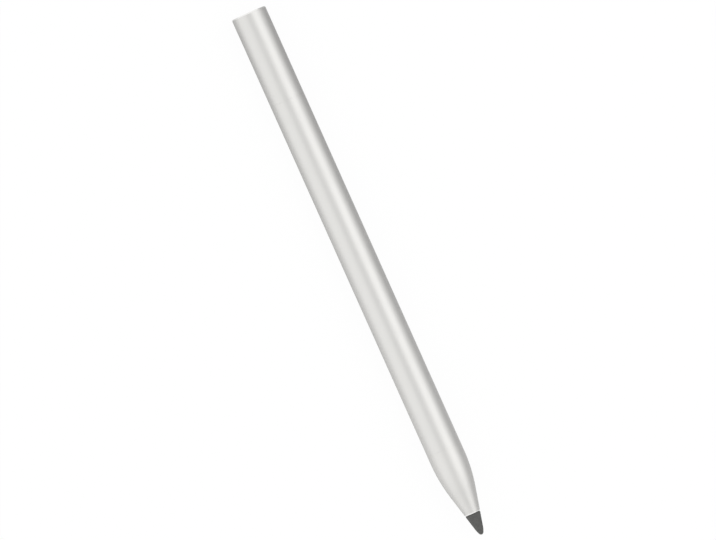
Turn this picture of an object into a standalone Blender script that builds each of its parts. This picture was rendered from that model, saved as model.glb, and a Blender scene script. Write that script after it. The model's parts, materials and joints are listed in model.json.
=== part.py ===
"""Rechargeable stylus pen: a pressure-sensing nib, two side keys and a sliding tail over its charging port.

Pen frame: Z runs from the point of the nib (z = 0) to the tail, and X faces up as the pen lies on a table.
Key frame: the pen frame turned about Z, so that X points out through the side keys and the charging port.
World frame: the pen lies along X with its nib towards +X, and its barrel rests on z = 0.
All sizes are in metres.
"""

import math

import bmesh
import bpy

# Outside of the pen
PEN_LENGTH = 0.1442
BARREL_DIAMETER = 0.0092
BARREL_WALL = 0.0006
NIB_LENGTH = 0.0056
NIB_BASE_DIAMETER = 0.0040
NOSE_HALF_ANGLE = 13.4
NOSE_BLEND_RADIUS = 0.040
NOSE_SKIRT = 0.0022
TAIL_CHAMFER = 0.0003

# Gaps between pieces
SEAM = 0.00005
SEAT = 0.00005
PUSH_FIT = 0.00005
RUN_FIT = 0.00006
SLIP_FIT = 0.0001
END_PLAY = 0.0002

# Nib, its holder and the nose
NIB_TRAVEL = 0.00015
NIB_STEM_DIAMETER = 0.0016
STEM_CLEARANCE = 0.0002
NOSE_FRONT_WALL = 0.0030
NOSE_WALL = 0.0008
SPIGOT_WALL = 0.00075
ELECTRODE_WALL = 0.00025
BUSH_LENGTH = 0.0030
HOLDER_DIAMETER = 0.0026
HOLDER_REACH = 0.0020
FLANGE_DIAMETER = 0.0044
FLANGE_THICKNESS = 0.0008
ROD_DIAMETER = 0.0018
ROD_REACH = 0.0003
NIB_SPRING_LENGTH = 0.0045
NIB_SPRING_WIRE = 0.0003
NIB_SPRING_TURNS = 5

# Force sensor
CUP_FRONT = 0.0008
CUP_WALL = 0.0006
PAD_DIAMETER = 0.0030
PAD_THICKNESS = 0.0006
SENSOR_THICKNESS = 0.0012
SENSOR_BOARD_THICKNESS = 0.0006
BOSS_LENGTH = 0.0031

# Chassis and main board
CHASSIS_FRONT = 0.0014
BAY_WALL = 0.0010
POCKET_DEPTH = 0.0024
POCKET_MARGIN = 0.0006
BOARD_WIDTH = 0.0058
BOARD_THICKNESS = 0.0008
SCREW_PAD = 0.0034
SCREW_SHANK_DIAMETER = 0.0011
SCREW_HEAD_DIAMETER = 0.0021
SCREW_HEAD_HEIGHT = 0.0005
SCREW_SOCKET_DIAMETER = 0.0010
SCREW_SOCKET_DEPTH = 0.0003
SCREW_LENGTH = 0.0022
FLEX_PAD = 0.0030
CHIP_GAP = 0.0010
CONTROL_SIDE = 0.0040
CONTROL_HEIGHT = 0.0008
RADIO_SIDE = 0.0030
RADIO_HEIGHT = 0.0007
CHARGER_SIDE = 0.0025
CHARGER_HEIGHT = 0.0006
ANTENNA_LENGTH = 0.0050
ANTENNA_WIDTH = 0.0020
ANTENNA_HEIGHT = 0.0011

# Side keys, their switches and the status light
KEY_CLOCK = -117.0
KEY_LENGTH = 0.0090
KEY_WIDTH = 0.0024
KEY_WEB = 0.0020
KEY_GAP = 0.0001
KEY_SINK = 0.00005
KEY_TRAVEL = 0.00025
KEY_OVERHANG = 0.0005
KEY_FLANGE_THICKNESS = 0.0005
KEY_PLUNGER_LENGTH = 0.0006
KEY_PLUNGER_DIAMETER = 0.0014
SWITCH_SIDE = 0.0026
SWITCH_BODY = 0.00055
SWITCH_DOME = 0.00025
SWITCH_DOME_DIAMETER = 0.0012
LIGHT_PAD = 0.0040
LED_SIDE = 0.0010
LED_HEIGHT = 0.0004
PIPE_DIAMETER = 0.0010
PIPE_FLANGE_DIAMETER = 0.0018
PIPE_FLANGE_THICKNESS = 0.0004

# Battery and wiring
BATTERY_EDGE = 0.0004
BATTERY_BOARD_THICKNESS = 0.0006
CRADLE_WALL = 0.00045
CRADLE_DEPTH = 0.0012
FOLD_GAP = 0.0022
FLEX_WIDTH = 0.0025
FLEX_THICKNESS = 0.00015
FLEX_BEND = 0.0005
LEAD_DIAMETER = 0.0005
LEAD_LAP = 0.0012
LEAD_SPREAD = 0.0039

# Neck and charging port
NECK_PLUG = 0.0064
NECK_ENGAGEMENT = 0.0065
NECK_SKIN = 0.00015
PORT_SET_BACK = 0.0012
PORT_LENGTH = 0.00894
PORT_HEIGHT = 0.00326
PORT_SHELL = 0.0003
PORT_RIM = 0.0003
PORT_BASE = 0.0010
TONGUE_WIDTH = 0.00669
TONGUE_THICKNESS = 0.0007
TONGUE_SET_BACK = 0.0007
PORT_BOARD_WIDTH = 0.0026
PORT_BOARD_THICKNESS = 0.0004
FLEX_LAP = 0.0020
RING_SECTION = 0.0005
RING_GAP = 0.00003
RING_INSET = 0.0040
PIN_DIAMETER = 0.0009
PIN_DEPTH = 0.0018
PIN_INSET = 0.0014
PIN_CLEARANCE = 0.0001

# Tail button
TAIL_BOARD_DIAMETER = 0.0060
TAIL_BOARD_THICKNESS = 0.0006
TAIL_TRAVEL = 0.0004
TAIL_STEM_DIAMETER = 0.0020
TAIL_STEM_REACH = 0.0008
TAIL_BULKHEAD = 0.0008
TAIL_SPRING_LENGTH = 0.0010
TAIL_SPRING_WIRE = 0.0002
TAIL_SPRING_TURNS = 2.5
TAIL_SPRING_DIAMETER = 0.0048
TAIL_BUTTON_THICKNESS = 0.0017
TAIL_BUTTON_GAP = 0.00012
TAIL_RIM = 0.0009
CLIP_DIAMETER = 0.0036
CLIP_THICKNESS = 0.0004
CLIP_GROOVE = 0.00025

# Fineness of round shapes
ROUND_STEPS = 40
SMALL_STEPS = 24
ARC_STEPS = 6
SLOT_STEPS = 8
COIL_STEPS = 12
WIRE_STEPS = 2
SMOOTH_ANGLE = math.radians(30)
OVERCUT = 0.0005
MERGE = 1e-6

# Radii of the outside and of what fits in the bore
BARREL_RADIUS = BARREL_DIAMETER / 2
BORE_RADIUS = BARREL_RADIUS - BARREL_WALL
INSIDE_RADIUS = BORE_RADIUS - SLIP_FIT
NIB_BASE_RADIUS = NIB_BASE_DIAMETER / 2
STEM_RADIUS = NIB_STEM_DIAMETER / 2
NOSE_ANGLE = math.radians(NOSE_HALF_ANGLE)
NOSE_SLOPE = math.tan(NOSE_ANGLE)
SPIGOT_RADIUS = BORE_RADIUS - PUSH_FIT
CAVITY_RADIUS = SPIGOT_RADIUS - SPIGOT_WALL
HOLDER_RADIUS = HOLDER_DIAMETER / 2
FLANGE_RADIUS = FLANGE_DIAMETER / 2
ROD_RADIUS = ROD_DIAMETER / 2
CUP_RADIUS = CAVITY_RADIUS - SEAT
CUP_BORE = CUP_RADIUS - CUP_WALL
BATTERY_RADIUS = INSIDE_RADIUS - CRADLE_WALL - SEAT
SCREW_HOLE_RADIUS = SCREW_SHANK_DIAMETER / 2 + PUSH_FIT


def cone_radius(z):
    """Radius of the straight taper that the nib and the nose share."""
    return NIB_BASE_RADIUS + (z - NIB_LENGTH) * NOSE_SLOPE


# Places along the pen, from the nib to the sensor
NOSE_Z = NIB_LENGTH + NIB_TRAVEL + SEAT
CAVITY_Z = NOSE_Z + NOSE_FRONT_WALL
CAVITY_MOUTH_RADIUS = cone_radius(CAVITY_Z) - NOSE_WALL
BUSH_SEAT_Z = CAVITY_Z + (CAVITY_RADIUS - CAVITY_MOUTH_RADIUS) / NOSE_SLOPE
BUSH_Z = BUSH_SEAT_Z + SEAT
FLANGE_Z = BUSH_Z + BUSH_LENGTH + SEAT
FLANGE_END_Z = FLANGE_Z + FLANGE_THICKNESS
CUP_Z = FLANGE_END_Z + NIB_SPRING_LENGTH
ROD_END_Z = CUP_Z + CUP_FRONT + ROD_REACH
PAD_Z = ROD_END_Z + NIB_TRAVEL + SEAT
SENSOR_Z = PAD_Z + PAD_THICKNESS + SEAT
SENSOR_BOARD_Z = SENSOR_Z + SENSOR_THICKNESS + SEAT
BOSS_Z = SENSOR_BOARD_Z + SENSOR_BOARD_THICKNESS + SEAT
SPIGOT_END_Z = BOSS_Z + BOSS_LENGTH
BLEND_END_Z = (
    NIB_LENGTH
    + (BARREL_RADIUS - NIB_BASE_RADIUS) / NOSE_SLOPE
    + NOSE_BLEND_RADIUS * math.tan(NOSE_ANGLE / 2)
)
NOSE_END_Z = BLEND_END_Z + NOSE_SKIRT
BARREL_Z = NOSE_END_Z + SEAM

# Places along the main board, each item after the one before it
CHASSIS_Z = SPIGOT_END_Z + SEAT
BAY_Z = CHASSIS_Z + CHASSIS_FRONT
BOARD_Z = BAY_Z + END_PLAY
FRONT_SCREW_Z = BOARD_Z + SCREW_PAD / 2
FRONT_KEY_Z = BOARD_Z + SCREW_PAD + KEY_LENGTH / 2
REAR_KEY_Z = FRONT_KEY_Z + KEY_LENGTH + KEY_WEB
LIGHT_Z = REAR_KEY_Z + KEY_LENGTH / 2 + LIGHT_PAD / 2
CONTROL_Z = LIGHT_Z + LIGHT_PAD / 2 + CONTROL_SIDE / 2
RADIO_Z = CONTROL_Z + (CONTROL_SIDE + RADIO_SIDE) / 2 + CHIP_GAP
CHARGER_Z = RADIO_Z + (RADIO_SIDE + CHARGER_SIDE) / 2 + CHIP_GAP
ANTENNA_Z = CHARGER_Z + (CHARGER_SIDE + ANTENNA_WIDTH) / 2 + CHIP_GAP
REAR_SCREW_Z = ANTENNA_Z + ANTENNA_WIDTH / 2 + CHIP_GAP + SCREW_PAD / 2
BOARD_END_Z = REAR_SCREW_Z + SCREW_PAD / 2 + FLEX_PAD
BAY_END_Z = BOARD_END_Z + END_PLAY

# Places along the tail, from the end of the pen forwards
TAIL_BUTTON_Z = PEN_LENGTH - TAIL_BUTTON_THICKNESS
BULKHEAD_END_Z = TAIL_BUTTON_Z - TAIL_SPRING_LENGTH
BULKHEAD_Z = BULKHEAD_END_Z - TAIL_BULKHEAD
TAIL_STEM_Z = BULKHEAD_Z - TAIL_STEM_REACH
TAIL_SWITCH_Z = TAIL_STEM_Z - SEAT - TAIL_TRAVEL - SWITCH_DOME - SWITCH_BODY
TAIL_BOARD_Z = TAIL_SWITCH_Z - SEAT - TAIL_BOARD_THICKNESS
NECK_END_Z = TAIL_BOARD_Z - SEAT
PIN_Z = NECK_END_Z - PIN_INSET
FRICTION_RING_Z = NECK_END_Z - RING_INSET
SLEEVE_TRAVEL = PORT_SET_BACK + PORT_LENGTH + PORT_SET_BACK
SLEEVE_Z = NECK_END_Z - NECK_ENGAGEMENT - SLEEVE_TRAVEL
PORT_Z = SLEEVE_Z + PORT_SET_BACK + PORT_LENGTH / 2
BARREL_END_Z = SLEEVE_Z - SEAM
NECK_Z = BARREL_END_Z - NECK_PLUG
SEAL_Z = NECK_Z + NECK_PLUG / 2

# Places along the battery, which fills the room between the main board and the neck
BATTERY_BAY_Z = BAY_END_Z + BAY_WALL
BATTERY_BOARD_Z = BATTERY_BAY_Z + END_PLAY
BATTERY_Z = BATTERY_BOARD_Z + BATTERY_BOARD_THICKNESS + SEAT
BATTERY_END_Z = NECK_Z - FOLD_GAP
FOLD_Z = NECK_Z - FOLD_GAP / 2

# Heights above the pen's axis, out through the keys
KEY_FLANGE_HALF = KEY_WIDTH / 2 + KEY_OVERHANG
KEY_FLANGE_X = math.sqrt(INSIDE_RADIUS**2 - KEY_FLANGE_HALF**2)
KEY_FLANGE_BOTTOM_X = KEY_FLANGE_X - KEY_FLANGE_THICKNESS
KEY_PLUNGER_X = KEY_FLANGE_BOTTOM_X - KEY_PLUNGER_LENGTH
BOARD_TOP_X = KEY_PLUNGER_X - KEY_TRAVEL - SEAT - SWITCH_DOME - SWITCH_BODY - SEAT
TRAY_X = BOARD_TOP_X - BOARD_THICKNESS - SEAT
ON_BOARD_X = BOARD_TOP_X + SEAT
FLEX_OVER_X = BATTERY_RADIUS + SEAT + FLEX_THICKNESS / 2

# Heights in the neck, out through the charging port
RING_CENTRE_RADIUS = BORE_RADIUS - RING_GAP - RING_SECTION / 2
GROOVE_RADIUS = RING_CENTRE_RADIUS - RING_SECTION / 2 - RING_GAP
PORT_BOARD_X = -math.sqrt((GROOVE_RADIUS - NECK_SKIN) ** 2 - (PORT_BOARD_WIDTH / 2) ** 2)
PORT_BOARD_TOP_X = PORT_BOARD_X + PORT_BOARD_THICKNESS
PORT_FLOOR_X = PORT_BOARD_TOP_X + SEAT
PORT_MOUTH_X = math.sqrt(INSIDE_RADIUS**2 - (PORT_HEIGHT / 2 + PORT_RIM) ** 2)
FLEX_LOW_X = PORT_BOARD_TOP_X + SEAT + FLEX_THICKNESS / 2
STOP_GROOVE_DEPTH = BARREL_WALL / 2

# Tail radii, and the height of the pen's axis over the table that a flat of the barrel rests on
TAIL_RECESS_RADIUS = BARREL_RADIUS - TAIL_RIM
TAIL_BUTTON_RADIUS = TAIL_RECESS_RADIUS - TAIL_BUTTON_GAP
TAIL_STEM_RADIUS = TAIL_STEM_DIAMETER / 2
AXIS_HEIGHT = BARREL_RADIUS * math.cos(math.pi / ROUND_STEPS)

# Finishes as colour, roughness and metallic value
FINISHES = {
    "silver_metal": ((0.72, 0.71, 0.69), 0.38, 1.0),
    "silver_paint": ((0.70, 0.69, 0.67), 0.42, 0.6),
    "nib_grey": ((0.085, 0.085, 0.082), 0.65, 0.0),
    "copper": ((0.80, 0.42, 0.26), 0.30, 1.0),
    "white_plastic": ((0.80, 0.79, 0.76), 0.45, 0.0),
    "brass": ((0.78, 0.60, 0.28), 0.30, 1.0),
    "steel": ((0.56, 0.56, 0.57), 0.30, 1.0),
    "silicone": ((0.16, 0.16, 0.17), 0.70, 0.0),
    "black_plastic": ((0.020, 0.020, 0.022), 0.50, 0.0),
    "circuit_green": ((0.020, 0.120, 0.050), 0.40, 0.0),
    "chip_black": ((0.012, 0.012, 0.013), 0.35, 0.0),
    "ceramic": ((0.62, 0.60, 0.55), 0.40, 0.0),
    "clear_plastic": ((0.85, 0.86, 0.86), 0.15, 0.0),
    "cell_wrap": ((0.035, 0.090, 0.220), 0.35, 0.0),
    "flex_amber": ((0.360, 0.150, 0.025), 0.35, 0.0),
    "lead_red": ((0.450, 0.020, 0.015), 0.45, 0.0),
    "lead_black": ((0.015, 0.015, 0.015), 0.45, 0.0),
}


def clear_scene():
    """Removes whatever the open file holds."""
    for thing in list(bpy.data.objects):
        bpy.data.objects.remove(thing, do_unlink=True)


def new_collection(name):
    """A collection of the scene."""
    made = bpy.data.collections.new(name)
    bpy.context.scene.collection.children.link(made)
    return made


def make_finish(name):
    """The named finish as a material."""
    colour, roughness, metallic = FINISHES[name]
    material = bpy.data.materials.new(name)
    material.use_nodes = True
    shader = material.node_tree.nodes["Principled BSDF"]
    shader.inputs["Base Color"].default_value = (*colour, 1.0)
    shader.inputs["Roughness"].default_value = roughness
    shader.inputs["Metallic"].default_value = metallic
    return material


clear_scene()
PEN = new_collection("stylus_pen")
CUTTERS = new_collection("cutters")
MATERIALS = {name: make_finish(name) for name in FINISHES}


def add_frame(name, parent=None):
    """An empty that carries pieces."""
    frame = bpy.data.objects.new(name, None)
    PEN.objects.link(frame)
    frame.parent = parent
    return frame


PEN_FRAME = add_frame("pen_frame")
PEN_FRAME.location = (PEN_LENGTH / 2, 0.0, AXIS_HEIGHT)
PEN_FRAME.rotation_euler = (0.0, -math.pi / 2, 0.0)
KEY_FRAME = add_frame("key_frame", PEN_FRAME)
KEY_FRAME.rotation_euler = (0.0, 0.0, math.radians(KEY_CLOCK))


def add_piece(name, mesh, finish, frame, place=(0.0, 0.0, 0.0)):
    """An object for a mesh or a curve, carried by a frame. With no finish it is a cutter."""
    piece = bpy.data.objects.new(name, mesh)
    piece.parent = frame
    piece.location = place
    if finish is None:
        CUTTERS.objects.link(piece)
        piece.hide_render = True
        piece.display_type = "WIRE"
    else:
        PEN.objects.link(piece)
        if not mesh.materials:
            mesh.materials.append(MATERIALS[finish])
    return piece


def bake(piece):
    """Turns a piece's modifiers into plain faces, smooth but for its real edges."""
    bpy.context.view_layer.update()
    graph = bpy.context.evaluated_depsgraph_get()
    mesh = bpy.data.meshes.new_from_object(piece.evaluated_get(graph))
    piece.modifiers.clear()
    piece.data = mesh
    mesh.name = piece.name
    mesh.shade_smooth()
    mesh.set_sharp_from_angle(angle=SMOOTH_ANGLE)
    return piece


def turned(name, profile, finish, frame=PEN_FRAME, steps=ROUND_STEPS, solid=False, origin=0.0):
    """A turned piece about Z. The profile is (radius, z) pairs, down the outer side first.

    A solid's profile starts and ends on the axis, and any other is a closed loop.
    The flats of the round face the frame's X and Y.
    """
    mesh = bpy.data.meshes.new(name)
    corners = [(radius, 0.0, z - origin) for radius, z in profile]
    edges = [(i, i + 1) for i in range(len(corners) - 1)]
    if not solid:
        edges.append((len(corners) - 1, 0))
    mesh.from_pydata(corners, edges, [])
    piece = add_piece(name, mesh, finish, frame, (0.0, 0.0, origin))
    piece.rotation_euler.z = math.pi / steps
    screw = piece.modifiers.new("turn", "SCREW")
    screw.axis = "Z"
    screw.steps = steps
    screw.render_steps = steps
    screw.use_merge_vertices = True
    screw.merge_threshold = MERGE
    return bake(piece)


def tube_profile(outer, inner, start, end):
    """A plain tube between two places along the pen."""
    return [(outer, end), (outer, start), (inner, start), (inner, end)]


def disc_profile(radius, start, end):
    """A plain disc or rod between two places along the pen."""
    return [(0.0, end), (radius, end), (radius, start), (0.0, start)]


def arc(centre, radius, start, end, steps=ARC_STEPS):
    """Points of an arc in the profile plane, with angles in radians from the radius axis."""
    turns = [start + (end - start) * i / steps for i in range(steps + 1)]
    return [(centre[0] + radius * math.cos(t), centre[1] + radius * math.sin(t)) for t in turns]


def block(name, low, high, finish, frame=KEY_FRAME):
    """A box between two corners of its frame."""
    mesh = bpy.data.meshes.new(name)
    form = bmesh.new()
    bmesh.ops.create_cube(form, size=1.0)
    bmesh.ops.scale(form, vec=[b - a for a, b in zip(low, high)], verts=form.verts)
    form.to_mesh(mesh)
    form.free()
    return add_piece(name, mesh, finish, frame, [(a + b) / 2 for a, b in zip(low, high)])


def peg(name, radius, start, end, z, finish, axis="X", steps=SMALL_STEPS):
    """A cylinder of the key frame that stands across the pen, from start to end along X or Y."""
    mesh = bpy.data.meshes.new(name)
    form = bmesh.new()
    depth = end - start
    bmesh.ops.create_cone(
        form, cap_ends=True, segments=steps, radius1=radius, radius2=radius, depth=depth
    )
    form.to_mesh(mesh)
    form.free()
    mesh.shade_smooth()
    mesh.set_sharp_from_angle(angle=SMOOTH_ANGLE)
    middle = (start + end) / 2
    place = (middle, 0.0, z) if axis == "X" else (0.0, middle, z)
    piece = add_piece(name, mesh, finish, KEY_FRAME, place)
    piece.rotation_euler = (0.0, math.pi / 2, 0.0) if axis == "X" else (math.pi / 2, 0.0, 0.0)
    return piece


def slab(name, length, width, start, end, z, finish):
    """A slot-shaped block of the key frame, long along the pen, from start to end along X."""
    outline = bpy.data.curves.new(name, "CURVE")
    outline.dimensions = "2D"
    outline.fill_mode = "BOTH"
    outline.extrude = (end - start) / 2
    half = (length - width) / 2
    points = [
        (side * half + width / 2 * math.cos(turn), width / 2 * math.sin(turn))
        for side, first in ((1, -math.pi / 2), (-1, math.pi / 2))
        for turn in [first + math.pi * i / SLOT_STEPS for i in range(SLOT_STEPS + 1)]
    ]
    spline = outline.splines.new("POLY")
    spline.points.add(len(points) - 1)
    for point, (x, y) in zip(spline.points, points):
        point.co = (x, y, 0.0, 1.0)
    spline.use_cyclic_u = True
    drawn = add_piece(name, outline, finish, KEY_FRAME)
    bpy.context.view_layer.update()
    graph = bpy.context.evaluated_depsgraph_get()
    mesh = bpy.data.meshes.new_from_object(drawn.evaluated_get(graph))
    bpy.data.objects.remove(drawn)
    form = bmesh.new()
    form.from_mesh(mesh)
    bmesh.ops.remove_doubles(form, verts=form.verts, dist=MERGE)
    form.to_mesh(mesh)
    form.free()
    mesh.set_sharp_from_angle(angle=SMOOTH_ANGLE)
    piece = add_piece(name, mesh, finish, KEY_FRAME, ((start + end) / 2, 0.0, z))
    piece.rotation_euler = (0.0, math.pi / 2, 0.0)
    return piece


def coil(name, radius, wire, turns, start, end, finish):
    """A compression spring about the pen's axis that fills the room between two places."""
    path = bpy.data.curves.new(name, "CURVE")
    path.dimensions = "3D"
    path.bevel_depth = wire / 2
    path.bevel_resolution = WIRE_STEPS
    path.use_fill_caps = True
    low = start + SEAT + wire / 2
    rise = end - SEAT - wire / 2 - low
    count = round(turns * COIL_STEPS)
    spline = path.splines.new("POLY")
    spline.points.add(count)
    for i, point in enumerate(spline.points):
        turn = 2 * math.pi * turns * i / count
        point.co = (radius * math.cos(turn), radius * math.sin(turn), rise * i / count, 1.0)
    return add_piece(name, path, finish, PEN_FRAME, (0.0, 0.0, low))


def shape_with(piece, tool, operation="DIFFERENCE"):
    """Cuts a piece with a tool, or joins or crosses them."""
    step = piece.modifiers.new(tool.name, "BOOLEAN")
    step.operation = operation
    step.solver = "EXACT"
    step.object = tool


def copy_of(piece, name, place):
    """A second piece of the same shape."""
    twin = add_piece(name, piece.data, piece.data.materials[0].name, piece.parent, place)
    twin.rotation_euler = piece.rotation_euler
    return twin


def build_nib():
    """The replaceable nib: a rounded cone on a stem that pushes into the holder."""
    point_radius = cone_radius(0.0) * math.cos(NOSE_ANGLE) / (1 - math.sin(NOSE_ANGLE))
    tip = arc((0.0, point_radius), point_radius, -NOSE_ANGLE, -math.pi / 2)
    tip[-1] = (0.0, 0.0)
    stem_end = FLANGE_Z - SEAT
    profile = [(0.0, stem_end), (STEM_RADIUS, stem_end), (STEM_RADIUS, NIB_LENGTH)]
    turned("nib", [*profile, (NIB_BASE_RADIUS, NIB_LENGTH), *tip], "nib_grey", solid=True)


def build_nib_holder():
    """The holder grips the nib's stem in front and presses on the force sensor with its rod."""
    socket = STEM_RADIUS + PUSH_FIT
    front = BUSH_Z - HOLDER_REACH
    profile = [
        (0.0, ROD_END_Z),
        (ROD_RADIUS, ROD_END_Z),
        (ROD_RADIUS, FLANGE_END_Z),
        (FLANGE_RADIUS, FLANGE_END_Z),
        (FLANGE_RADIUS, FLANGE_Z),
        (HOLDER_RADIUS, FLANGE_Z),
        (HOLDER_RADIUS, front),
        (socket, front),
        (socket, FLANGE_Z),
        (0.0, FLANGE_Z),
    ]
    turned("nib_holder", profile, "brass", steps=SMALL_STEPS, solid=True, origin=FLANGE_Z)
    spring_radius = (ROD_RADIUS + FLANGE_RADIUS) / 2
    coil("nib_spring", spring_radius, NIB_SPRING_WIRE, NIB_SPRING_TURNS, FLANGE_END_Z, CUP_Z, "steel")


def build_nose():
    """The tapered nose, which plugs into the barrel and holds the electrode and the bush."""
    blend_centre = (BARREL_RADIUS - NOSE_BLEND_RADIUS, BLEND_END_Z)
    blend = arc(blend_centre, NOSE_BLEND_RADIUS, 0.0, -NOSE_ANGLE)
    front_bore = STEM_RADIUS + STEM_CLEARANCE
    profile = [
        (SPIGOT_RADIUS, SPIGOT_END_Z),
        (SPIGOT_RADIUS, NOSE_END_Z),
        (BARREL_RADIUS, NOSE_END_Z),
        *blend,
        (cone_radius(NOSE_Z), NOSE_Z),
        (front_bore, NOSE_Z),
        (front_bore, CAVITY_Z),
        (CAVITY_MOUTH_RADIUS, CAVITY_Z),
        (CAVITY_RADIUS, BUSH_SEAT_Z),
        (CAVITY_RADIUS, SPIGOT_END_Z),
    ]
    turned("nose_cone", profile, "silver_paint")

    low, high = CAVITY_Z + SEAT, BUSH_SEAT_Z - SEAT
    low_radius = CAVITY_MOUTH_RADIUS - SEAT
    high_radius = low_radius + (high - low) * NOSE_SLOPE
    taper = [
        (high_radius, high),
        (low_radius, low),
        (low_radius - ELECTRODE_WALL, low),
        (high_radius - ELECTRODE_WALL, high),
    ]
    turned("tilt_electrode", taper, "copper", steps=SMALL_STEPS)
    bush = tube_profile(CUP_RADIUS, HOLDER_RADIUS + RUN_FIT, BUSH_Z, BUSH_Z + BUSH_LENGTH)
    turned("guide_bush", bush, "white_plastic", steps=SMALL_STEPS)


def build_sensor():
    """The force sensor: a cup in the nose with a soft pad, the sensor and its board."""
    rod_hole = ROD_RADIUS + RUN_FIT
    cup = [
        (CUP_RADIUS, SPIGOT_END_Z),
        (CUP_RADIUS, CUP_Z),
        (rod_hole, CUP_Z),
        (rod_hole, CUP_Z + CUP_FRONT),
        (CUP_BORE, CUP_Z + CUP_FRONT),
        (CUP_BORE, SPIGOT_END_Z),
    ]
    turned("sensor_cup", cup, "black_plastic", steps=SMALL_STEPS)
    in_cup = CUP_BORE - SEAT
    stack = (
        ("sensor_pad", PAD_DIAMETER / 2, PAD_Z, PAD_THICKNESS, "silicone"),
        ("force_sensor", in_cup, SENSOR_Z, SENSOR_THICKNESS, "steel"),
        ("sensor_board", in_cup, SENSOR_BOARD_Z, SENSOR_BOARD_THICKNESS, "circuit_green"),
    )
    for name, radius, z, thickness, finish in stack:
        disc = disc_profile(radius, z, z + thickness)
        turned(name, disc, finish, steps=SMALL_STEPS, solid=True)


def build_chassis():
    """The moulded tray that carries the board and the battery inside the barrel."""
    rear = NECK_Z - SEAT
    boss = CUP_BORE - PUSH_FIT
    profile = [
        (0.0, rear),
        (INSIDE_RADIUS, rear),
        (INSIDE_RADIUS, CHASSIS_Z),
        (boss, CHASSIS_Z),
        (boss, BOSS_Z),
        (0.0, BOSS_Z),
    ]
    chassis = turned("chassis", profile, "black_plastic", KEY_FRAME, SMALL_STEPS, solid=True)
    wide = BARREL_RADIUS
    pocket = BOARD_WIDTH / 2 - POCKET_MARGIN
    notch = LEAD_SPREAD / 2 + LEAD_DIAMETER
    hole_end = TRAY_X - SCREW_LENGTH
    cuts = (
        block("board_bay_cut", (TRAY_X, -wide, BAY_Z), (wide, wide, BAY_END_Z), None),
        block(
            "board_pocket_cut",
            (-POCKET_DEPTH, -pocket, BOARD_Z + SCREW_PAD),
            (TRAY_X + OVERCUT, pocket, REAR_SCREW_Z - SCREW_PAD / 2),
            None,
        ),
        block(
            "lead_notch_cut",
            (BOARD_TOP_X, -notch, BAY_END_Z - OVERCUT),
            (wide, notch, BATTERY_BAY_Z + OVERCUT),
            None,
        ),
        block(
            "battery_mouth_cut",
            (-CRADLE_DEPTH, -wide, BATTERY_BAY_Z),
            (wide, wide, rear + OVERCUT),
            None,
        ),
        turned(
            "battery_bore_cut",
            disc_profile(BATTERY_RADIUS + SEAT, BATTERY_BAY_Z, rear + OVERCUT),
            None,
            KEY_FRAME,
            solid=True,
        ),
        peg("front_screw_cut", SCREW_HOLE_RADIUS, hole_end, TRAY_X + OVERCUT, FRONT_SCREW_Z, None),
        peg("rear_screw_cut", SCREW_HOLE_RADIUS, hole_end, TRAY_X + OVERCUT, REAR_SCREW_Z, None),
    )
    for cutter in cuts:
        shape_with(chassis, cutter)


def build_screws():
    """Two screws that hold the main board on the tray."""
    head = SCREW_HEAD_DIAMETER / 2
    shank = SCREW_SHANK_DIAMETER / 2
    socket = SCREW_SOCKET_DIAMETER / 2
    floor = SCREW_HEAD_HEIGHT - SCREW_SOCKET_DEPTH
    profile = [
        (0.0, floor),
        (socket, floor),
        (socket, SCREW_HEAD_HEIGHT),
        (head, SCREW_HEAD_HEIGHT),
        (head, 0.0),
        (shank, 0.0),
        (shank, -SCREW_LENGTH),
        (0.0, -SCREW_LENGTH),
    ]
    screw = turned("front_screw", profile, "steel", KEY_FRAME, SMALL_STEPS, solid=True)
    screw.location = (ON_BOARD_X, 0.0, FRONT_SCREW_Z)
    screw.rotation_euler = (0.0, math.pi / 2, 0.0)
    copy_of(screw, "rear_screw", (ON_BOARD_X, 0.0, REAR_SCREW_Z))


def build_board():
    """The main board, its chips and the light on it."""
    half = BOARD_WIDTH / 2
    low = (TRAY_X + SEAT, -half, BOARD_Z)
    board = block("main_board", low, (BOARD_TOP_X, half, BOARD_END_Z), "circuit_green")
    for name, z in (("front_hole_cut", FRONT_SCREW_Z), ("rear_hole_cut", REAR_SCREW_Z)):
        hole = peg(name, SCREW_HOLE_RADIUS, TRAY_X - OVERCUT, BOARD_TOP_X + OVERCUT, z, None)
        shape_with(board, hole)
    chips = (
        ("controller_chip", CONTROL_Z, (CONTROL_SIDE, CONTROL_SIDE), CONTROL_HEIGHT, "chip_black"),
        ("radio_chip", RADIO_Z, (RADIO_SIDE, RADIO_SIDE), RADIO_HEIGHT, "chip_black"),
        ("charger_chip", CHARGER_Z, (CHARGER_SIDE, CHARGER_SIDE), CHARGER_HEIGHT, "chip_black"),
        ("antenna", ANTENNA_Z, (ANTENNA_LENGTH, ANTENNA_WIDTH), ANTENNA_HEIGHT, "ceramic"),
        ("status_led", LIGHT_Z, (LED_SIDE, LED_SIDE), LED_HEIGHT, "white_plastic"),
    )
    for name, z, (across, along), height, finish in chips:
        low = (ON_BOARD_X, -across / 2, z - along / 2)
        block(name, low, (ON_BOARD_X + height, across / 2, z + along / 2), finish)


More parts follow.
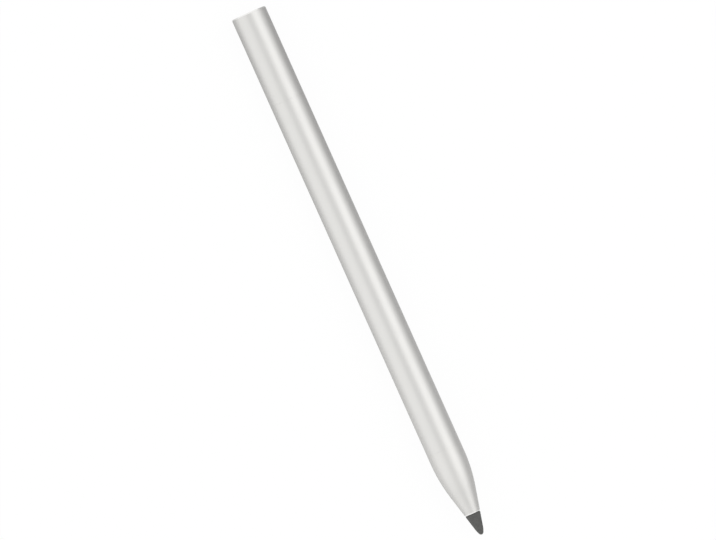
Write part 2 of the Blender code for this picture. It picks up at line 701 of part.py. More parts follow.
def build_light_pipe():
    """The clear pin that brings the status light out through the barrel."""
    radius = PIPE_DIAMETER / 2
    flange = PIPE_FLANGE_DIAMETER / 2
    top = math.sqrt(BARREL_RADIUS**2 - radius**2)
    flange_top = math.sqrt(INSIDE_RADIUS**2 - flange**2)
    profile = [
        (0.0, top),
        (radius, top),
        (radius, flange_top),
        (flange, flange_top),
        (flange, flange_top - PIPE_FLANGE_THICKNESS),
        (radius, flange_top - PIPE_FLANGE_THICKNESS),
        (radius, ON_BOARD_X + LED_HEIGHT + SEAT),
        (0.0, ON_BOARD_X + LED_HEIGHT + SEAT),
    ]
    pipe = turned("light_pipe", profile, "clear_plastic", KEY_FRAME, SMALL_STEPS, solid=True)
    pipe.location = (0.0, 0.0, LIGHT_Z)
    pipe.rotation_euler = (0.0, math.pi / 2, 0.0)


def build_switches():
    """Three click switches: one under each side key and one behind the tail button."""
    half = SWITCH_SIDE / 2
    switch = block("front_switch", (0.0, -half, -half), (SWITCH_BODY, half, half), "steel")
    dome_top = SWITCH_BODY + SWITCH_DOME
    dome = peg("switch_dome", SWITCH_DOME_DIAMETER / 2, SWITCH_BODY / 2, dome_top, 0.0, None)
    shape_with(switch, dome, "UNION")
    bake(switch)
    body_x = ON_BOARD_X + SWITCH_BODY / 2
    switch.location = (body_x, 0.0, FRONT_KEY_Z)
    copy_of(switch, "rear_switch", (body_x, 0.0, REAR_KEY_Z))
    tail = copy_of(switch, "tail_switch", (0.0, 0.0, TAIL_SWITCH_Z + SWITCH_BODY / 2))
    tail.rotation_euler = (0.0, -math.pi / 2, 0.0)


def build_keys():
    """Two side keys, flush with the barrel, each with a flange inside it and a plunger to its switch."""
    flange_middle = (KEY_FLANGE_X + KEY_FLANGE_BOTTOM_X) / 2
    outside = BARREL_RADIUS + OVERCUT
    key = slab("front_key", KEY_LENGTH, KEY_WIDTH, flange_middle, outside, 0.0, "silver_metal")
    long_half = KEY_LENGTH / 2 + KEY_OVERHANG
    reach = KEY_LENGTH
    crown = disc_profile(BARREL_RADIUS - KEY_SINK, -reach, reach)
    flange = block(
        "key_flange",
        (KEY_FLANGE_BOTTOM_X, -KEY_FLANGE_HALF, -long_half),
        (KEY_FLANGE_X, KEY_FLANGE_HALF, long_half),
        None,
    )
    plunger_radius = KEY_PLUNGER_DIAMETER / 2
    plunger = peg("key_plunger", plunger_radius, KEY_PLUNGER_X, flange_middle, 0.0, None)
    shape_with(key, turned("key_crown", crown, None, KEY_FRAME, solid=True), "INTERSECT")
    shape_with(key, flange, "UNION")
    shape_with(key, plunger, "UNION")
    bake(key)
    middle = key.location.x
    key.location = (middle, 0.0, FRONT_KEY_Z)
    copy_of(key, "rear_key", (middle, 0.0, REAR_KEY_Z))


def build_barrel():
    """The barrel tube, with a slot for each key and a hole for the light."""
    tube = tube_profile(BARREL_RADIUS, BORE_RADIUS, BARREL_Z, BARREL_END_Z)
    barrel = turned("barrel", tube, "silver_metal", KEY_FRAME)
    start, end = BORE_RADIUS - BARREL_WALL - OVERCUT, BARREL_RADIUS + OVERCUT
    length, width = KEY_LENGTH + 2 * KEY_GAP, KEY_WIDTH + 2 * KEY_GAP
    for name, z in (("front_slot_cut", FRONT_KEY_Z), ("rear_slot_cut", REAR_KEY_Z)):
        shape_with(barrel, slab(name, length, width, start, end, z, None))
    light_hole = PIPE_DIAMETER / 2 + PUSH_FIT
    shape_with(barrel, peg("light_hole_cut", light_hole, start, end, LIGHT_Z, None))


def build_battery():
    """The cell in its cradle, its protection board, and the two leads to the main board."""
    edge = BATTERY_RADIUS - BATTERY_EDGE
    cell = [
        (0.0, BATTERY_END_Z),
        (edge, BATTERY_END_Z),
        (BATTERY_RADIUS, BATTERY_END_Z - BATTERY_EDGE),
        (BATTERY_RADIUS, BATTERY_Z + BATTERY_EDGE),
        (edge, BATTERY_Z),
        (0.0, BATTERY_Z),
    ]
    turned("battery", cell, "cell_wrap", KEY_FRAME, SMALL_STEPS, solid=True)
    disc = disc_profile(BATTERY_RADIUS, BATTERY_BOARD_Z, BATTERY_BOARD_Z + BATTERY_BOARD_THICKNESS)
    turned("battery_board", disc, "circuit_green", KEY_FRAME, SMALL_STEPS, solid=True)
    start, end = BOARD_END_Z - LEAD_LAP, BATTERY_BOARD_Z - SEAT
    radius = LEAD_DIAMETER / 2
    for name, side in (("lead_red", -1), ("lead_black", 1)):
        rod = disc_profile(radius, start, end)
        lead = turned(f"battery_{name}", rod, name, KEY_FRAME, SMALL_STEPS // 2, True, start)
        lead.location = (ON_BOARD_X + radius, side * LEAD_SPREAD / 2, start)


def rounded_path(corners, radius):
    """Points along straight runs between corners, with each corner rounded."""
    points = [corners[0]]
    for before, corner, after in zip(corners, corners[1:], corners[2:]):
        ways = []
        for other in (before, after):
            run = math.dist(corner, other)
            ways.append([(b - a) / run for a, b in zip(corner, other)])
        opening = math.acos(sum(a * b for a, b in zip(*ways)))
        back = radius / math.tan(opening / 2)
        first, last = ([c + back * w for c, w in zip(corner, way)] for way in ways)
        for i in range(ARC_STEPS + 1):
            share = i / ARC_STEPS
            points.append(
                tuple(
                    (1 - share) ** 2 * a + 2 * share * (1 - share) * c + share**2 * b
                    for a, c, b in zip(first, corner, last)
                )
            )
    return [*points, corners[-1]]


def build_flex():
    """The flat cable that runs from the main board over the battery and down to the port's board."""
    board_level = ON_BOARD_X + FLEX_THICKNESS / 2
    corners = [
        (BOARD_END_Z - FLEX_PAD, board_level),
        (BOARD_END_Z - FLEX_PAD / 2, board_level),
        (BATTERY_BOARD_Z - END_PLAY, FLEX_OVER_X),
        (FOLD_Z, FLEX_OVER_X),
        (FOLD_Z, FLEX_LOW_X),
        (NECK_Z + FLEX_LAP, FLEX_LOW_X),
    ]
    path = rounded_path(corners, FLEX_BEND)
    mesh = bpy.data.meshes.new("flex_cable")
    form = bmesh.new()
    run = [form.verts.new((x, -FLEX_WIDTH / 2, z)) for z, x in path]
    edges = [form.edges.new(pair) for pair in zip(run, run[1:])]
    swept = bmesh.ops.extrude_edge_only(form, edges=edges)
    moved = [part for part in swept["geom"] if isinstance(part, bmesh.types.BMVert)]
    bmesh.ops.translate(form, vec=(0.0, FLEX_WIDTH, 0.0), verts=moved)
    bmesh.ops.recalc_face_normals(form, faces=form.faces)
    form.to_mesh(mesh)
    form.free()
    flex = add_piece("flex_cable", mesh, "flex_amber", KEY_FRAME)
    wall = flex.modifiers.new("wall", "SOLIDIFY")
    wall.thickness = FLEX_THICKNESS
    wall.offset = 0.0


def build_neck():
    """The inner neck: a plug in the barrel's end that the tail slides on, with the port across it."""
    half_groove = RING_SECTION / 2 + SEAT
    profile = [(0.0, NECK_END_Z), (INSIDE_RADIUS, NECK_END_Z)]
    for z in (FRICTION_RING_Z, SEAL_Z):
        profile += [
            (INSIDE_RADIUS, z + half_groove),
            (GROOVE_RADIUS, z + half_groove),
            (GROOVE_RADIUS, z - half_groove),
            (INSIDE_RADIUS, z - half_groove),
        ]
    profile += [(INSIDE_RADIUS, NECK_Z), (0.0, NECK_Z)]
    neck = turned("neck", profile, "black_plastic", KEY_FRAME, solid=True)
    long_half = PORT_LENGTH / 2 + PORT_RIM
    board_half = PORT_BOARD_WIDTH / 2 + SEAT
    flex_half = board_half + SLIP_FIT
    flex_room = FLEX_LOW_X + FLEX_THICKNESS / 2 + SLIP_FIT
    cuts = (
        block(
            "port_flat_cut",
            (PORT_MOUTH_X, -BARREL_RADIUS, PORT_Z - long_half),
            (BARREL_RADIUS, BARREL_RADIUS, PORT_Z + long_half),
            None,
        ),
        slab(
            "port_slot_cut",
            PORT_LENGTH + 2 * SEAT,
            PORT_HEIGHT + 2 * SEAT,
            (PORT_BOARD_X + PORT_BOARD_TOP_X) / 2,
            BARREL_RADIUS,
            PORT_Z,
            None,
        ),
        block(
            "port_board_cut",
            (PORT_BOARD_X - SEAT, -board_half, NECK_Z - OVERCUT),
            (PORT_BOARD_TOP_X + SEAT, board_half, NECK_END_Z + OVERCUT),
            None,
        ),
        block(
            "flex_entry_cut",
            (PORT_BOARD_TOP_X, -flex_half, NECK_Z - OVERCUT),
            (flex_room, flex_half, NECK_Z + FLEX_LAP + SLIP_FIT),
            None,
        ),
        peg(
            "stop_pin_cut",
            PIN_DIAMETER / 2 + PUSH_FIT,
            -BARREL_RADIUS,
            PIN_DEPTH + PUSH_FIT - INSIDE_RADIUS,
            PIN_Z,
            None,
            "Y",
        ),
    )
    for cutter in cuts:
        shape_with(neck, cutter)
    pin_top = BORE_RADIUS + STOP_GROOVE_DEPTH - PIN_CLEARANCE
    peg("stop_pin", PIN_DIAMETER / 2, -pin_top, PIN_DEPTH - INSIDE_RADIUS, PIN_Z, "steel", "Y")
    for name, z in (("neck_seal", SEAL_Z), ("friction_ring", FRICTION_RING_Z)):
        section = arc((RING_CENTRE_RADIUS, z), RING_SECTION / 2, math.pi, -math.pi)
        turned(name, section[:-1], "silicone", KEY_FRAME)


def build_port():
    """The charging port: a steel shell round a tongue on a base, and the board that it stands on."""
    shell = slab("port_shell", PORT_LENGTH, PORT_HEIGHT, PORT_FLOOR_X, PORT_MOUTH_X, PORT_Z, "steel")
    inner_length, inner_height = PORT_LENGTH - 2 * PORT_SHELL, PORT_HEIGHT - 2 * PORT_SHELL
    low, high = PORT_FLOOR_X - OVERCUT, PORT_MOUTH_X + OVERCUT
    shape_with(shell, slab("port_mouth_cut", inner_length, inner_height, low, high, PORT_Z, None))
    insert = slab(
        "port_insert",
        inner_length - 2 * SEAT,
        inner_height - 2 * SEAT,
        PORT_FLOOR_X,
        PORT_FLOOR_X + PORT_BASE,
        PORT_Z,
        "black_plastic",
    )
    half_width, half_thickness = TONGUE_WIDTH / 2, TONGUE_THICKNESS / 2
    tongue = block(
        "port_tongue",
        (PORT_FLOOR_X + PORT_BASE / 2, -half_thickness, PORT_Z - half_width),
        (PORT_MOUTH_X - TONGUE_SET_BACK, half_thickness, PORT_Z + half_width),
        None,
    )
    shape_with(insert, tongue, "UNION")
    half_board = PORT_BOARD_WIDTH / 2
    low = (PORT_BOARD_X, -half_board, NECK_Z + SEAT)
    block("port_board", low, (PORT_BOARD_TOP_X, half_board, NECK_END_Z), "circuit_green")
    tail_disc = disc_profile(TAIL_BOARD_DIAMETER / 2, TAIL_BOARD_Z, TAIL_BOARD_Z + TAIL_BOARD_THICKNESS)
    turned("tail_board", tail_disc, "circuit_green", KEY_FRAME, SMALL_STEPS, solid=True)


def build_tail_sleeve():
    """The sliding tail, with a groove inside for the stop pin and a recess for the tail button."""
    stem_hole = TAIL_STEM_RADIUS + SLIP_FIT
    profile = [
        (BARREL_RADIUS - TAIL_CHAMFER, PEN_LENGTH),
        (BARREL_RADIUS, PEN_LENGTH - TAIL_CHAMFER),
        (BARREL_RADIUS, SLEEVE_Z),
        (BORE_RADIUS, SLEEVE_Z),
        (BORE_RADIUS, BULKHEAD_Z),
        (stem_hole, BULKHEAD_Z),
        (stem_hole, BULKHEAD_END_Z),
        (TAIL_RECESS_RADIUS, BULKHEAD_END_Z),
        (TAIL_RECESS_RADIUS, PEN_LENGTH),
    ]
    sleeve = turned("tail_sleeve", profile, "silver_metal", KEY_FRAME, origin=SLEEVE_Z)
    half_groove = PIN_DIAMETER / 2 + PIN_CLEARANCE
    groove = block(
        "stop_groove_cut",
        (-half_groove, -BORE_RADIUS - STOP_GROOVE_DEPTH, PIN_Z - half_groove - SLEEVE_TRAVEL),
        (half_groove, -BORE_RADIUS + BARREL_WALL, PIN_Z + half_groove),
        None,
    )
    shape_with(sleeve, groove)


def build_tail_button():
    """The tail button in the sleeve's end, its spring, and the clip that keeps it in."""
    groove_end = BULKHEAD_Z - SEAT
    groove_start = groove_end - CLIP_THICKNESS
    groove_radius = TAIL_STEM_RADIUS - CLIP_GROOVE
    edge = TAIL_CHAMFER / 2
    profile = [
        (0.0, PEN_LENGTH),
        (TAIL_BUTTON_RADIUS - edge, PEN_LENGTH),
        (TAIL_BUTTON_RADIUS, PEN_LENGTH - edge),
        (TAIL_BUTTON_RADIUS, TAIL_BUTTON_Z),
        (TAIL_STEM_RADIUS, TAIL_BUTTON_Z),
        (TAIL_STEM_RADIUS, groove_end),
        (groove_radius, groove_end),
        (groove_radius, groove_start),
        (TAIL_STEM_RADIUS, groove_start),
        (TAIL_STEM_RADIUS, TAIL_STEM_Z),
        (0.0, TAIL_STEM_Z),
    ]
    turned("tail_button", profile, "silver_metal", KEY_FRAME, solid=True, origin=TAIL_BUTTON_Z)
    spring_radius = TAIL_SPRING_DIAMETER / 2
    turns = TAIL_SPRING_TURNS
    coil("tail_spring", spring_radius, TAIL_SPRING_WIRE, turns, BULKHEAD_END_Z, TAIL_BUTTON_Z, "steel")
    ring = tube_profile(
        CLIP_DIAMETER / 2, groove_radius + PUSH_FIT, groove_start + SEAT, groove_end - SEAT
    )
    turned("retaining_clip", ring, "steel", KEY_FRAME, SMALL_STEPS)


def main():
    build_nib()
    build_nib_holder()
    build_nose()
    build_sensor()
    build_chassis()
    build_board()
    build_screws()
    build_switches()
    build_keys()
    build_light_pipe()
    build_barrel()
    build_battery()
    build_flex()
    build_neck()
    build_port()
    build_tail_sleeve()
    build_tail_button()


main()
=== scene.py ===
"""Looks of a slim silver stylus pen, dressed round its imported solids.

The pen lies along X with its nib towards +X. Pieces are drawn in the pen's own frame, whose Z runs from the
point of the nib to the tail and whose X points up, or in the key frame, which is that frame turned about Z
until X points out through the side keys and the charging port. Sizes are in metres.
"""

import json
import logging
import math
import random
from dataclasses import dataclass
from enum import Enum
from functools import cache
from typing import Any, Callable, Self, Sequence

import bmesh
import bpy
from mathutils import Matrix, Vector


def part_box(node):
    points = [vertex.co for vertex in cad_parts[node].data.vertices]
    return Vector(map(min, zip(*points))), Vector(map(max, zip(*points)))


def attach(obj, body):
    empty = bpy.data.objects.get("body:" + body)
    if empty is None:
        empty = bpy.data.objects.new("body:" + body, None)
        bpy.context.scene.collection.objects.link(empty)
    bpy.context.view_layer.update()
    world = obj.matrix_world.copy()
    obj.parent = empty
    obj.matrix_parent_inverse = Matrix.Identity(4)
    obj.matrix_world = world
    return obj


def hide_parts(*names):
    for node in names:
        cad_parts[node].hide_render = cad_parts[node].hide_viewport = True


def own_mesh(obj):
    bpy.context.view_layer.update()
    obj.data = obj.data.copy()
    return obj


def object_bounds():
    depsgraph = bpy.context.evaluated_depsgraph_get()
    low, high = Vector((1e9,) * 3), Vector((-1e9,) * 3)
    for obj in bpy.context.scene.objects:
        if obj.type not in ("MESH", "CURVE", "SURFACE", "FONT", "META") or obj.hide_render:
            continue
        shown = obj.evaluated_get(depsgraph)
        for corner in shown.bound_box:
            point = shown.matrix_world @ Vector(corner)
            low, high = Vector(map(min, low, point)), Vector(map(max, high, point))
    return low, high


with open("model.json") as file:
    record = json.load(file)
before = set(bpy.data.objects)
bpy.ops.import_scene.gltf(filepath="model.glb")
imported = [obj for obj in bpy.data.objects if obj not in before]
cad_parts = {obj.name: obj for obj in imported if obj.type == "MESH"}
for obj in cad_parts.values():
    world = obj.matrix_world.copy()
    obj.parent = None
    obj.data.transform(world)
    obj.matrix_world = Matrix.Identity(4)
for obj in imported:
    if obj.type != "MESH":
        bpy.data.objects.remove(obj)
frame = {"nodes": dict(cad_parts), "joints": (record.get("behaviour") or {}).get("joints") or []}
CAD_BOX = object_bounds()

LOG = logging.getLogger("stylus_pen")

MM = 0.001
QUARTER = math.pi / 2
BOARD_EDGE = 0.03 * MM

# Faces round a large and a small turned piece, in the corner of an outline and over a rounded edge
ROUND_STEPS = 192
SMALL_STEPS = 96
CORNER_STEPS = 16
EDGE_STEPS = 4

# Largest turn from point to point of a fillet, and the share of a side that it may take up
FILLET_STEP = math.radians(12)
FILLET_ROOM = 0.45

# Points nearer than this are one, edges that turn further stay sharp, and faces that lean further are sides
MERGE = 5e-7
SHARP_ANGLE = math.radians(32)
SIDE_LEAN = math.cos(math.radians(60))

# Length of a wave of the wave texture at scale 1, and where most values of a noise lie
WAVE_PERIOD = math.pi / 10
NOISE_REACH = (0.3, 0.7)

# Numbers of a colour mix's sockets, which share their names with others
MIX_FIRST = 6
MIX_SECOND = 7
MIX_RESULT = 2

Colour = tuple[float, float, float]
Corner = tuple[float, ...]
Span = tuple[float, float]
Feeds = dict[str | int, Any]
Node = bpy.types.Node
Socket = bpy.types.NodeSocket


class Body(Enum):
    """The bodies of the frame that pieces ride on."""

    BARREL = "barrel"
    CARRIER = "nib_carrier"
    NIB = "nib"
    FRONT_KEY = "front_key"
    REAR_KEY = "rear_key"
    SLEEVE = "tail_sleeve"
    BUTTON = "tail_button"


class Lie(Enum):
    """The frame that a piece is drawn in."""

    PEN = "pen"
    KEYS = "keys"


def joint(name: str) -> dict[str, Any]:
    """Gives a joint of the frame by its name."""
    return next(found for found in frame["joints"] if found["name"] == name)


def travel(name: str) -> float:
    """Gives how far a joint of the frame moves."""
    return max(joint(name)["range_m"])


@dataclass(frozen=True)
class Pen:
    """Where the pen lies, and the sizes that its pieces share.

    The keys are turned by clock about the axis, from straight up. Solids that touch on the real pen have the
    gap seat between them, and a seam that shows on the outside is a hairline wide.
    """

    nib_x: float
    height: float
    clock: float
    bore: float = 4.0 * MM
    inside: float = 3.9 * MM
    seat: float = 0.05 * MM
    hairline: float = 0.006 * MM
    seam_edge: float = 0.006 * MM

    @classmethod
    def from_frame(cls) -> Self:
        """Reads the pen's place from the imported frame.

        Returns:
            The pen, with its keys turned to where their joint presses.
        """
        low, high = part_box("nib")
        _, across, up = joint("front_key_press")["axis"]
        return cls(high.x, (low.z + high.z) / 2, math.atan2(-across, -up))

    @property
    def radius(self) -> float:
        """Gives the outer radius of the barrel, which lies on the table."""
        return self.height

    def turn(self, lie: Lie) -> float:
        """Gives the turn of a frame about the pen's axis."""
        return self.clock if lie is Lie.KEYS else 0.0

    def matrix(self, lie: Lie) -> Matrix:
        """Gives the matrix that takes a frame of the pen to the world.

        Args:
            lie: The frame that a piece is drawn in.

        Returns:
            The matrix from that frame to the world.
        """
        up, across, along = Vector((0, 0, 1)), Vector((0, 1, 0)), Vector((-1, 0, 0))
        lying = Matrix((up, across, along)).transposed().to_4x4()
        place = Matrix.Translation((self.nib_x, 0.0, self.height))
        return place @ lying @ Matrix.Rotation(self.turn(lie), 4, "Z")

    def extent(self, node: str) -> tuple[Vector, Vector]:
        """Measures a solid in the key frame.

        Args:
            node: Name of the solid.

        Returns:
            Its lowest and highest corner: out through the keys, across, and along the pen.
        """
        back = self.matrix(Lie.KEYS).inverted()
        points = [back @ vertex.co for vertex in frame["nodes"][node].data.vertices]
        low, high = (Vector(pick(point[i] for point in points) for i in range(3)) for pick in (min, max))
        return low, high

    def span(self, node: str) -> Span:
        """Gives where a solid starts and ends along the pen, from the nib's point."""
        low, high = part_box(node)
        return self.nib_x - high.x, self.nib_x - low.x

    def middle(self, node: str) -> float:
        """Gives the middle of a solid along the pen."""
        return sum(self.span(node)) / 2

    def flush(self, radius: float, across: float) -> float:
        """Gives how far out a round surface lies at a distance across the key frame."""
        return math.sqrt(radius**2 - across**2)


PEN = Pen.from_frame()


class NodeKit:
    """Adds and joins the nodes of a tree."""

    def __init__(self, tree: bpy.types.NodeTree) -> None:
        """Takes the tree."""
        self.tree = tree

    def add(self, kind: str, feeds: Feeds | None = None, **settings: Any) -> Node:
        """Adds a node.

        Args:
            kind: Its kind.
            feeds: A value or another socket for each of its sockets, by name or number.
            settings: Its settings.

        Returns:
            The node.
        """
        node = self.tree.nodes.new(kind)
        for key, value in settings.items():
            setattr(node, key, value)
        self.feed(node, feeds or {})
        return node

    def feed(self, node: Node, feeds: Feeds) -> None:
        """Sets sockets of a node, or joins them to other sockets.

        Args:
            node: The node.
            feeds: A value or another socket for each of its sockets, by name or number.
        """
        for key, value in feeds.items():
            socket = node.inputs[key]
            if isinstance(value, Socket):
                self.tree.links.new(value, socket)
            else:
                socket.default_value = value

    def math(self, operation: str, *values: Any) -> Socket:
        """Joins numbers by a named operation."""
        return self.add("ShaderNodeMath", dict(enumerate(values)), operation=operation).outputs["Value"]


class ShaderKit(NodeKit):
    """The nodes of one material, with its surface shader and the place on the piece."""

    def __init__(self, name: str) -> None:
        """Starts a material.

        Args:
            name: Its name.
        """
        self.material = bpy.data.materials.new(name)
        self.material.use_nodes = True
        super().__init__(self.material.node_tree)
        self.shader = self.tree.nodes["Principled BSDF"]
        self.place = self.add("ShaderNodeTexCoord").outputs["Object"]

    def set(self, **values: Any) -> None:
        """Sets sockets of the surface shader, named with _ for a space."""
        self.feed(self.shader, {key.replace("_", " "): value for key, value in values.items()})

    def turned(self, rotation: Sequence[float], location: Sequence[float] = (0.0, 0.0, 0.0)) -> Socket:
        """Gives the place on the piece, turned and then moved."""
        feeds = {"Vector": self.place, "Rotation": rotation, "Location": location}
        return self.add("ShaderNodeMapping", feeds).outputs["Vector"]

    def placed(self, lie: Lie) -> Socket:
        """Gives the place on the piece about the pen's axis.

        Args:
            lie: Whether the place is turned with the keys.

        Returns:
            The place along X, across, and up or out through the keys.
        """
        turn = PEN.turn(lie)
        axis = Matrix.Rotation(turn, 3, "X") @ Vector((0.0, 0.0, PEN.height))
        return self.turned((turn, 0.0, 0.0), -axis)

    def parts(self, place: Socket) -> bpy.types.NodeOutputs:
        """Gives the three parts of a place."""
        return self.add("ShaderNodeSeparateXYZ", {"Vector": place}).outputs

    def noise(self, size: float, detail: float = 2.0) -> Socket:
        """Gives soft noise from 0 to 1 whose blotches are about that size."""
        feeds = {"Vector": self.place, "Scale": 1.0 / size, "Detail": detail}
        return self.add("ShaderNodeTexNoise", feeds).outputs["Fac"]

    def wave(self, place: Socket, pitch: float, wander: float = 0.0, **settings: str) -> Socket:
        """Gives lines from 0 to 1 at a pitch, which wander to the side."""
        feeds = {"Vector": place, "Scale": WAVE_PERIOD / pitch, "Distortion": wander}
        return self.add("ShaderNodeTexWave", feeds, **settings).outputs["Fac"]

    def cells(self, place: Socket, size: float, **settings: str) -> bpy.types.NodeOutputs:
        """Gives the outputs of cells of about that size, by name."""
        return self.add("ShaderNodeTexVoronoi", {"Vector": place, "Scale": 1.0 / size}, **settings).outputs

    def spread(self, value: Any, source: Span, target: Span) -> Socket:
        """Maps a value from one range to another and holds it there."""
        labels = ("Value", "From Min", "From Max", "To Min", "To Max")
        return self.add("ShaderNodeMapRange", dict(zip(labels, (value, *source, *target)))).outputs["Result"]

    def shade(self, share: Any, *colours: Any) -> Socket:
        """Mixes two colours.

        Args:
            share: Share of the second one, from 0 to 1.
            colours: The two, each a colour or a socket.

        Returns:
            The mixed colour.
        """
        first, second = ((*each, 1.0) if isinstance(each, tuple) else each for each in colours)
        feeds = {0: share, MIX_FIRST: first, MIX_SECOND: second}
        return self.add("ShaderNodeMix", feeds, data_type="RGBA").outputs[MIX_RESULT]

    def bump(self, height: Any, depth: float) -> None:
        """Raises the surface by a height from 0 to 1 times a depth."""
        raised = self.add("ShaderNodeBump", {"Height": height, "Distance": depth})
        self.set(Normal=raised.outputs["Normal"])


def scaled(colour: Colour, factor: float) -> Colour:
    """Makes a colour darker or lighter by a factor."""
    return tuple(part * factor for part in colour)


@dataclass(frozen=True)
class Finish:
    """A finish with a fine grain, and with patches over which its tone and gloss drift slowly.

    The tones of grain and drift are shares of the colour, and the gloss drifts up and down by gloss_drift.
    """

    name: str
    slot: str
    colour: Colour
    roughness: float
    metallic: float = 0.0
    grain_size: float = 0.08 * MM
    grain_depth: float = 0.002 * MM
    grain_tone: float = 0.03
    grain_detail: float = 4.0
    drift_size: float = 3.0 * MM
    tone_drift: float = 0.04
    gloss_drift: float = 0.04

    @cache
    def material(self) -> bpy.types.Material:
        """Gives the finish as a material, which is made the first time.

        Returns:
            The material.
        """
        kit = ShaderKit(self.name)
        kit.set(Metallic=self.metallic)
        self.paint(kit)
        return kit.material

    def toned(self, kit: ShaderKit, drift: Any, grain: Any) -> Socket:
        """Gives the colour with its drift and grain.

        Args:
            kit: The material's nodes.
            drift: The slow noise.
            grain: The fine noise.

        Returns:
            The colour at each place.
        """
        swing = self.tone_drift + self.grain_tone
        share = kit.math("MULTIPLY", drift, self.tone_drift / swing)
        share = kit.math("MULTIPLY_ADD", grain, self.grain_tone / swing, share)
        return kit.shade(share, scaled(self.colour, 1 - swing), scaled(self.colour, 1 + swing))

    def gloss(self, kit: ShaderKit, drift: Any, reach: Span = NOISE_REACH) -> Socket:
        """Gives the roughness with its drift, whose values lie in a reach."""
        target = (self.roughness - self.gloss_drift, self.roughness + self.gloss_drift)
        return kit.spread(drift, reach, target)

    def paint(self, kit: ShaderKit) -> None:
        """Gives the shader its colour, gloss and grain.

        Args:
            kit: The material's nodes.
        """
        drift, grain = kit.noise(self.drift_size), kit.noise(self.grain_size, self.grain_detail)
        kit.set(Base_Color=self.toned(kit, drift, grain), Roughness=self.gloss(kit, drift))
        kit.bump(grain, self.grain_depth)


@dataclass(frozen=True)
class SpunFinish(Finish):
    """Turned metal, with fine tool lines round the pen's axis on its sides and on its ends."""

    line_pitch: float = 0.12 * MM
    line_depth: float = 0.004 * MM
    line_wander: float = 1.5
    gloss_reach: Span = (0.5, 1.5)

    def paint(self, kit: ShaderKit) -> None:
        """Gives the shader its colour, and lines for its gloss and relief.

        Args:
            kit: The material's nodes.
        """
        drift, grain = kit.noise(self.drift_size), kit.noise(self.grain_size)
        place = kit.placed(Lie.PEN)
        lines = 0.0
        for kind, way in (("BANDS", "bands_direction"), ("RINGS", "rings_direction")):
            wave = kit.wave(place, self.line_pitch, self.line_wander, wave_type=kind, **{way: "X"})
            lines = kit.math("MULTIPLY_ADD", wave, 0.5, lines)
        kit.set(Base_Color=self.toned(kit, drift, lines))
        kit.set(Roughness=self.gloss(kit, kit.math("ADD", grain, lines), self.gloss_reach))
        kit.bump(lines, self.line_depth)


@dataclass(frozen=True)
class BoardFinish(Finish):
    """Solder mask with raised tracks under it, and bare metal dots.

    The tracks lie in fields. A field draws a share: past slant_from its tracks run aslant and past cross_from
    across the board, and otherwise along it. The share bare of the fields has none. Tracks and dots fade from
    their core to their edge, which for dots are shares of their pitch.
    """

    track: Colour = (0.045, 0.22, 0.09)
    metal: Colour = (0.80, 0.62, 0.30)
    metal_gloss: float = 0.12
    field: float = 1.9 * MM
    slant_from: float = 0.45
    cross_from: float = 0.75
    bare: float = 0.15
    track_pitch: float = 0.30 * MM
    track_core: float = 0.036 * MM
    track_edge: float = 0.054 * MM
    dot_pitch: float = 0.9 * MM
    dot_core: float = 0.13
    dot_edge: float = 0.156

    def tracks(self, kit: ShaderKit, place: Socket) -> Socket:
        """Lays the tracks.

        Args:
            kit: The material's nodes.
            place: The place on the board.

        Returns:
            1 on a track and 0 beside it.
        """
        fields = kit.cells(place, self.field, distance="CHEBYCHEV")
        draws = kit.add("ShaderNodeSeparateColor", {"Color": fields["Color"]}).outputs
        along, way, _ = kit.parts(place)
        slant = kit.math("MULTIPLY", kit.math("ADD", along, way), math.sqrt(0.5))
        for limit, other in ((self.slant_from, slant), (self.cross_from, along)):
            chosen = kit.math("GREATER_THAN", draws["Red"], limit)
            way = kit.math("MULTIPLY_ADD", chosen, kit.math("SUBTRACT", other, way), way)
        aside = kit.math("PINGPONG", way, self.track_pitch / 2)
        lines = kit.spread(aside, (self.track_core, self.track_edge), (1.0, 0.0))
        return kit.math("MULTIPLY", lines, kit.math("GREATER_THAN", draws["Green"], self.bare))

    def paint(self, kit: ShaderKit) -> None:
        """Gives the shader its mask, tracks and dots.

        Args:
            kit: The material's nodes.
        """
        drift, grain = kit.noise(self.drift_size), kit.noise(self.grain_size)
        place = kit.placed(Lie.KEYS)
        tracks = self.tracks(kit, place)
        distance = kit.cells(place, self.dot_pitch, feature="F1")["Distance"]
        dots = kit.spread(distance, (self.dot_core, self.dot_edge), (1.0, 0.0))
        masked = kit.shade(tracks, self.toned(kit, drift, grain), self.track)
        gloss = kit.spread(dots, (0.0, 1.0), (self.roughness, self.roughness - self.metal_gloss))
        kit.set(Base_Color=kit.shade(dots, masked, self.metal), Metallic=dots, Roughness=gloss)
        kit.bump(kit.math("MAXIMUM", tracks, dots), self.grain_depth)


@dataclass(frozen=True)
class FlexFinish(Finish):
    """Amber film with copper lines that run along it."""

    copper: Colour = (0.62, 0.25, 0.055)
    line_pitch: float = 0.3 * MM
    line_fade: Span = (0.45, 0.6)

    def paint(self, kit: ShaderKit) -> None:
        """Gives the shader its film and lines.

        Args:
            kit: The material's nodes.
        """
        drift, grain = kit.noise(self.drift_size), kit.noise(self.grain_size)
        wave = kit.wave(kit.placed(Lie.KEYS), self.line_pitch, wave_type="BANDS", bands_direction="Y")
        lines = kit.spread(wave, self.line_fade, (0.0, 1.0))
        kit.set(Base_Color=kit.shade(lines, self.toned(kit, drift, grain), self.copper))
        kit.set(Roughness=self.gloss(kit, drift))
        kit.bump(lines, self.grain_depth)


@dataclass(frozen=True)
class ClearFinish(Finish):
    """Milky clear plastic that a share of the light passes through."""

    clearness: float = 0.55
    refraction: float = 1.49

    def paint(self, kit: ShaderKit) -> None:
        """Gives the shader the plain finish, and lets light through it."""
        super().paint(kit)
        kit.set(Transmission_Weight=self.clearness, IOR=self.refraction)


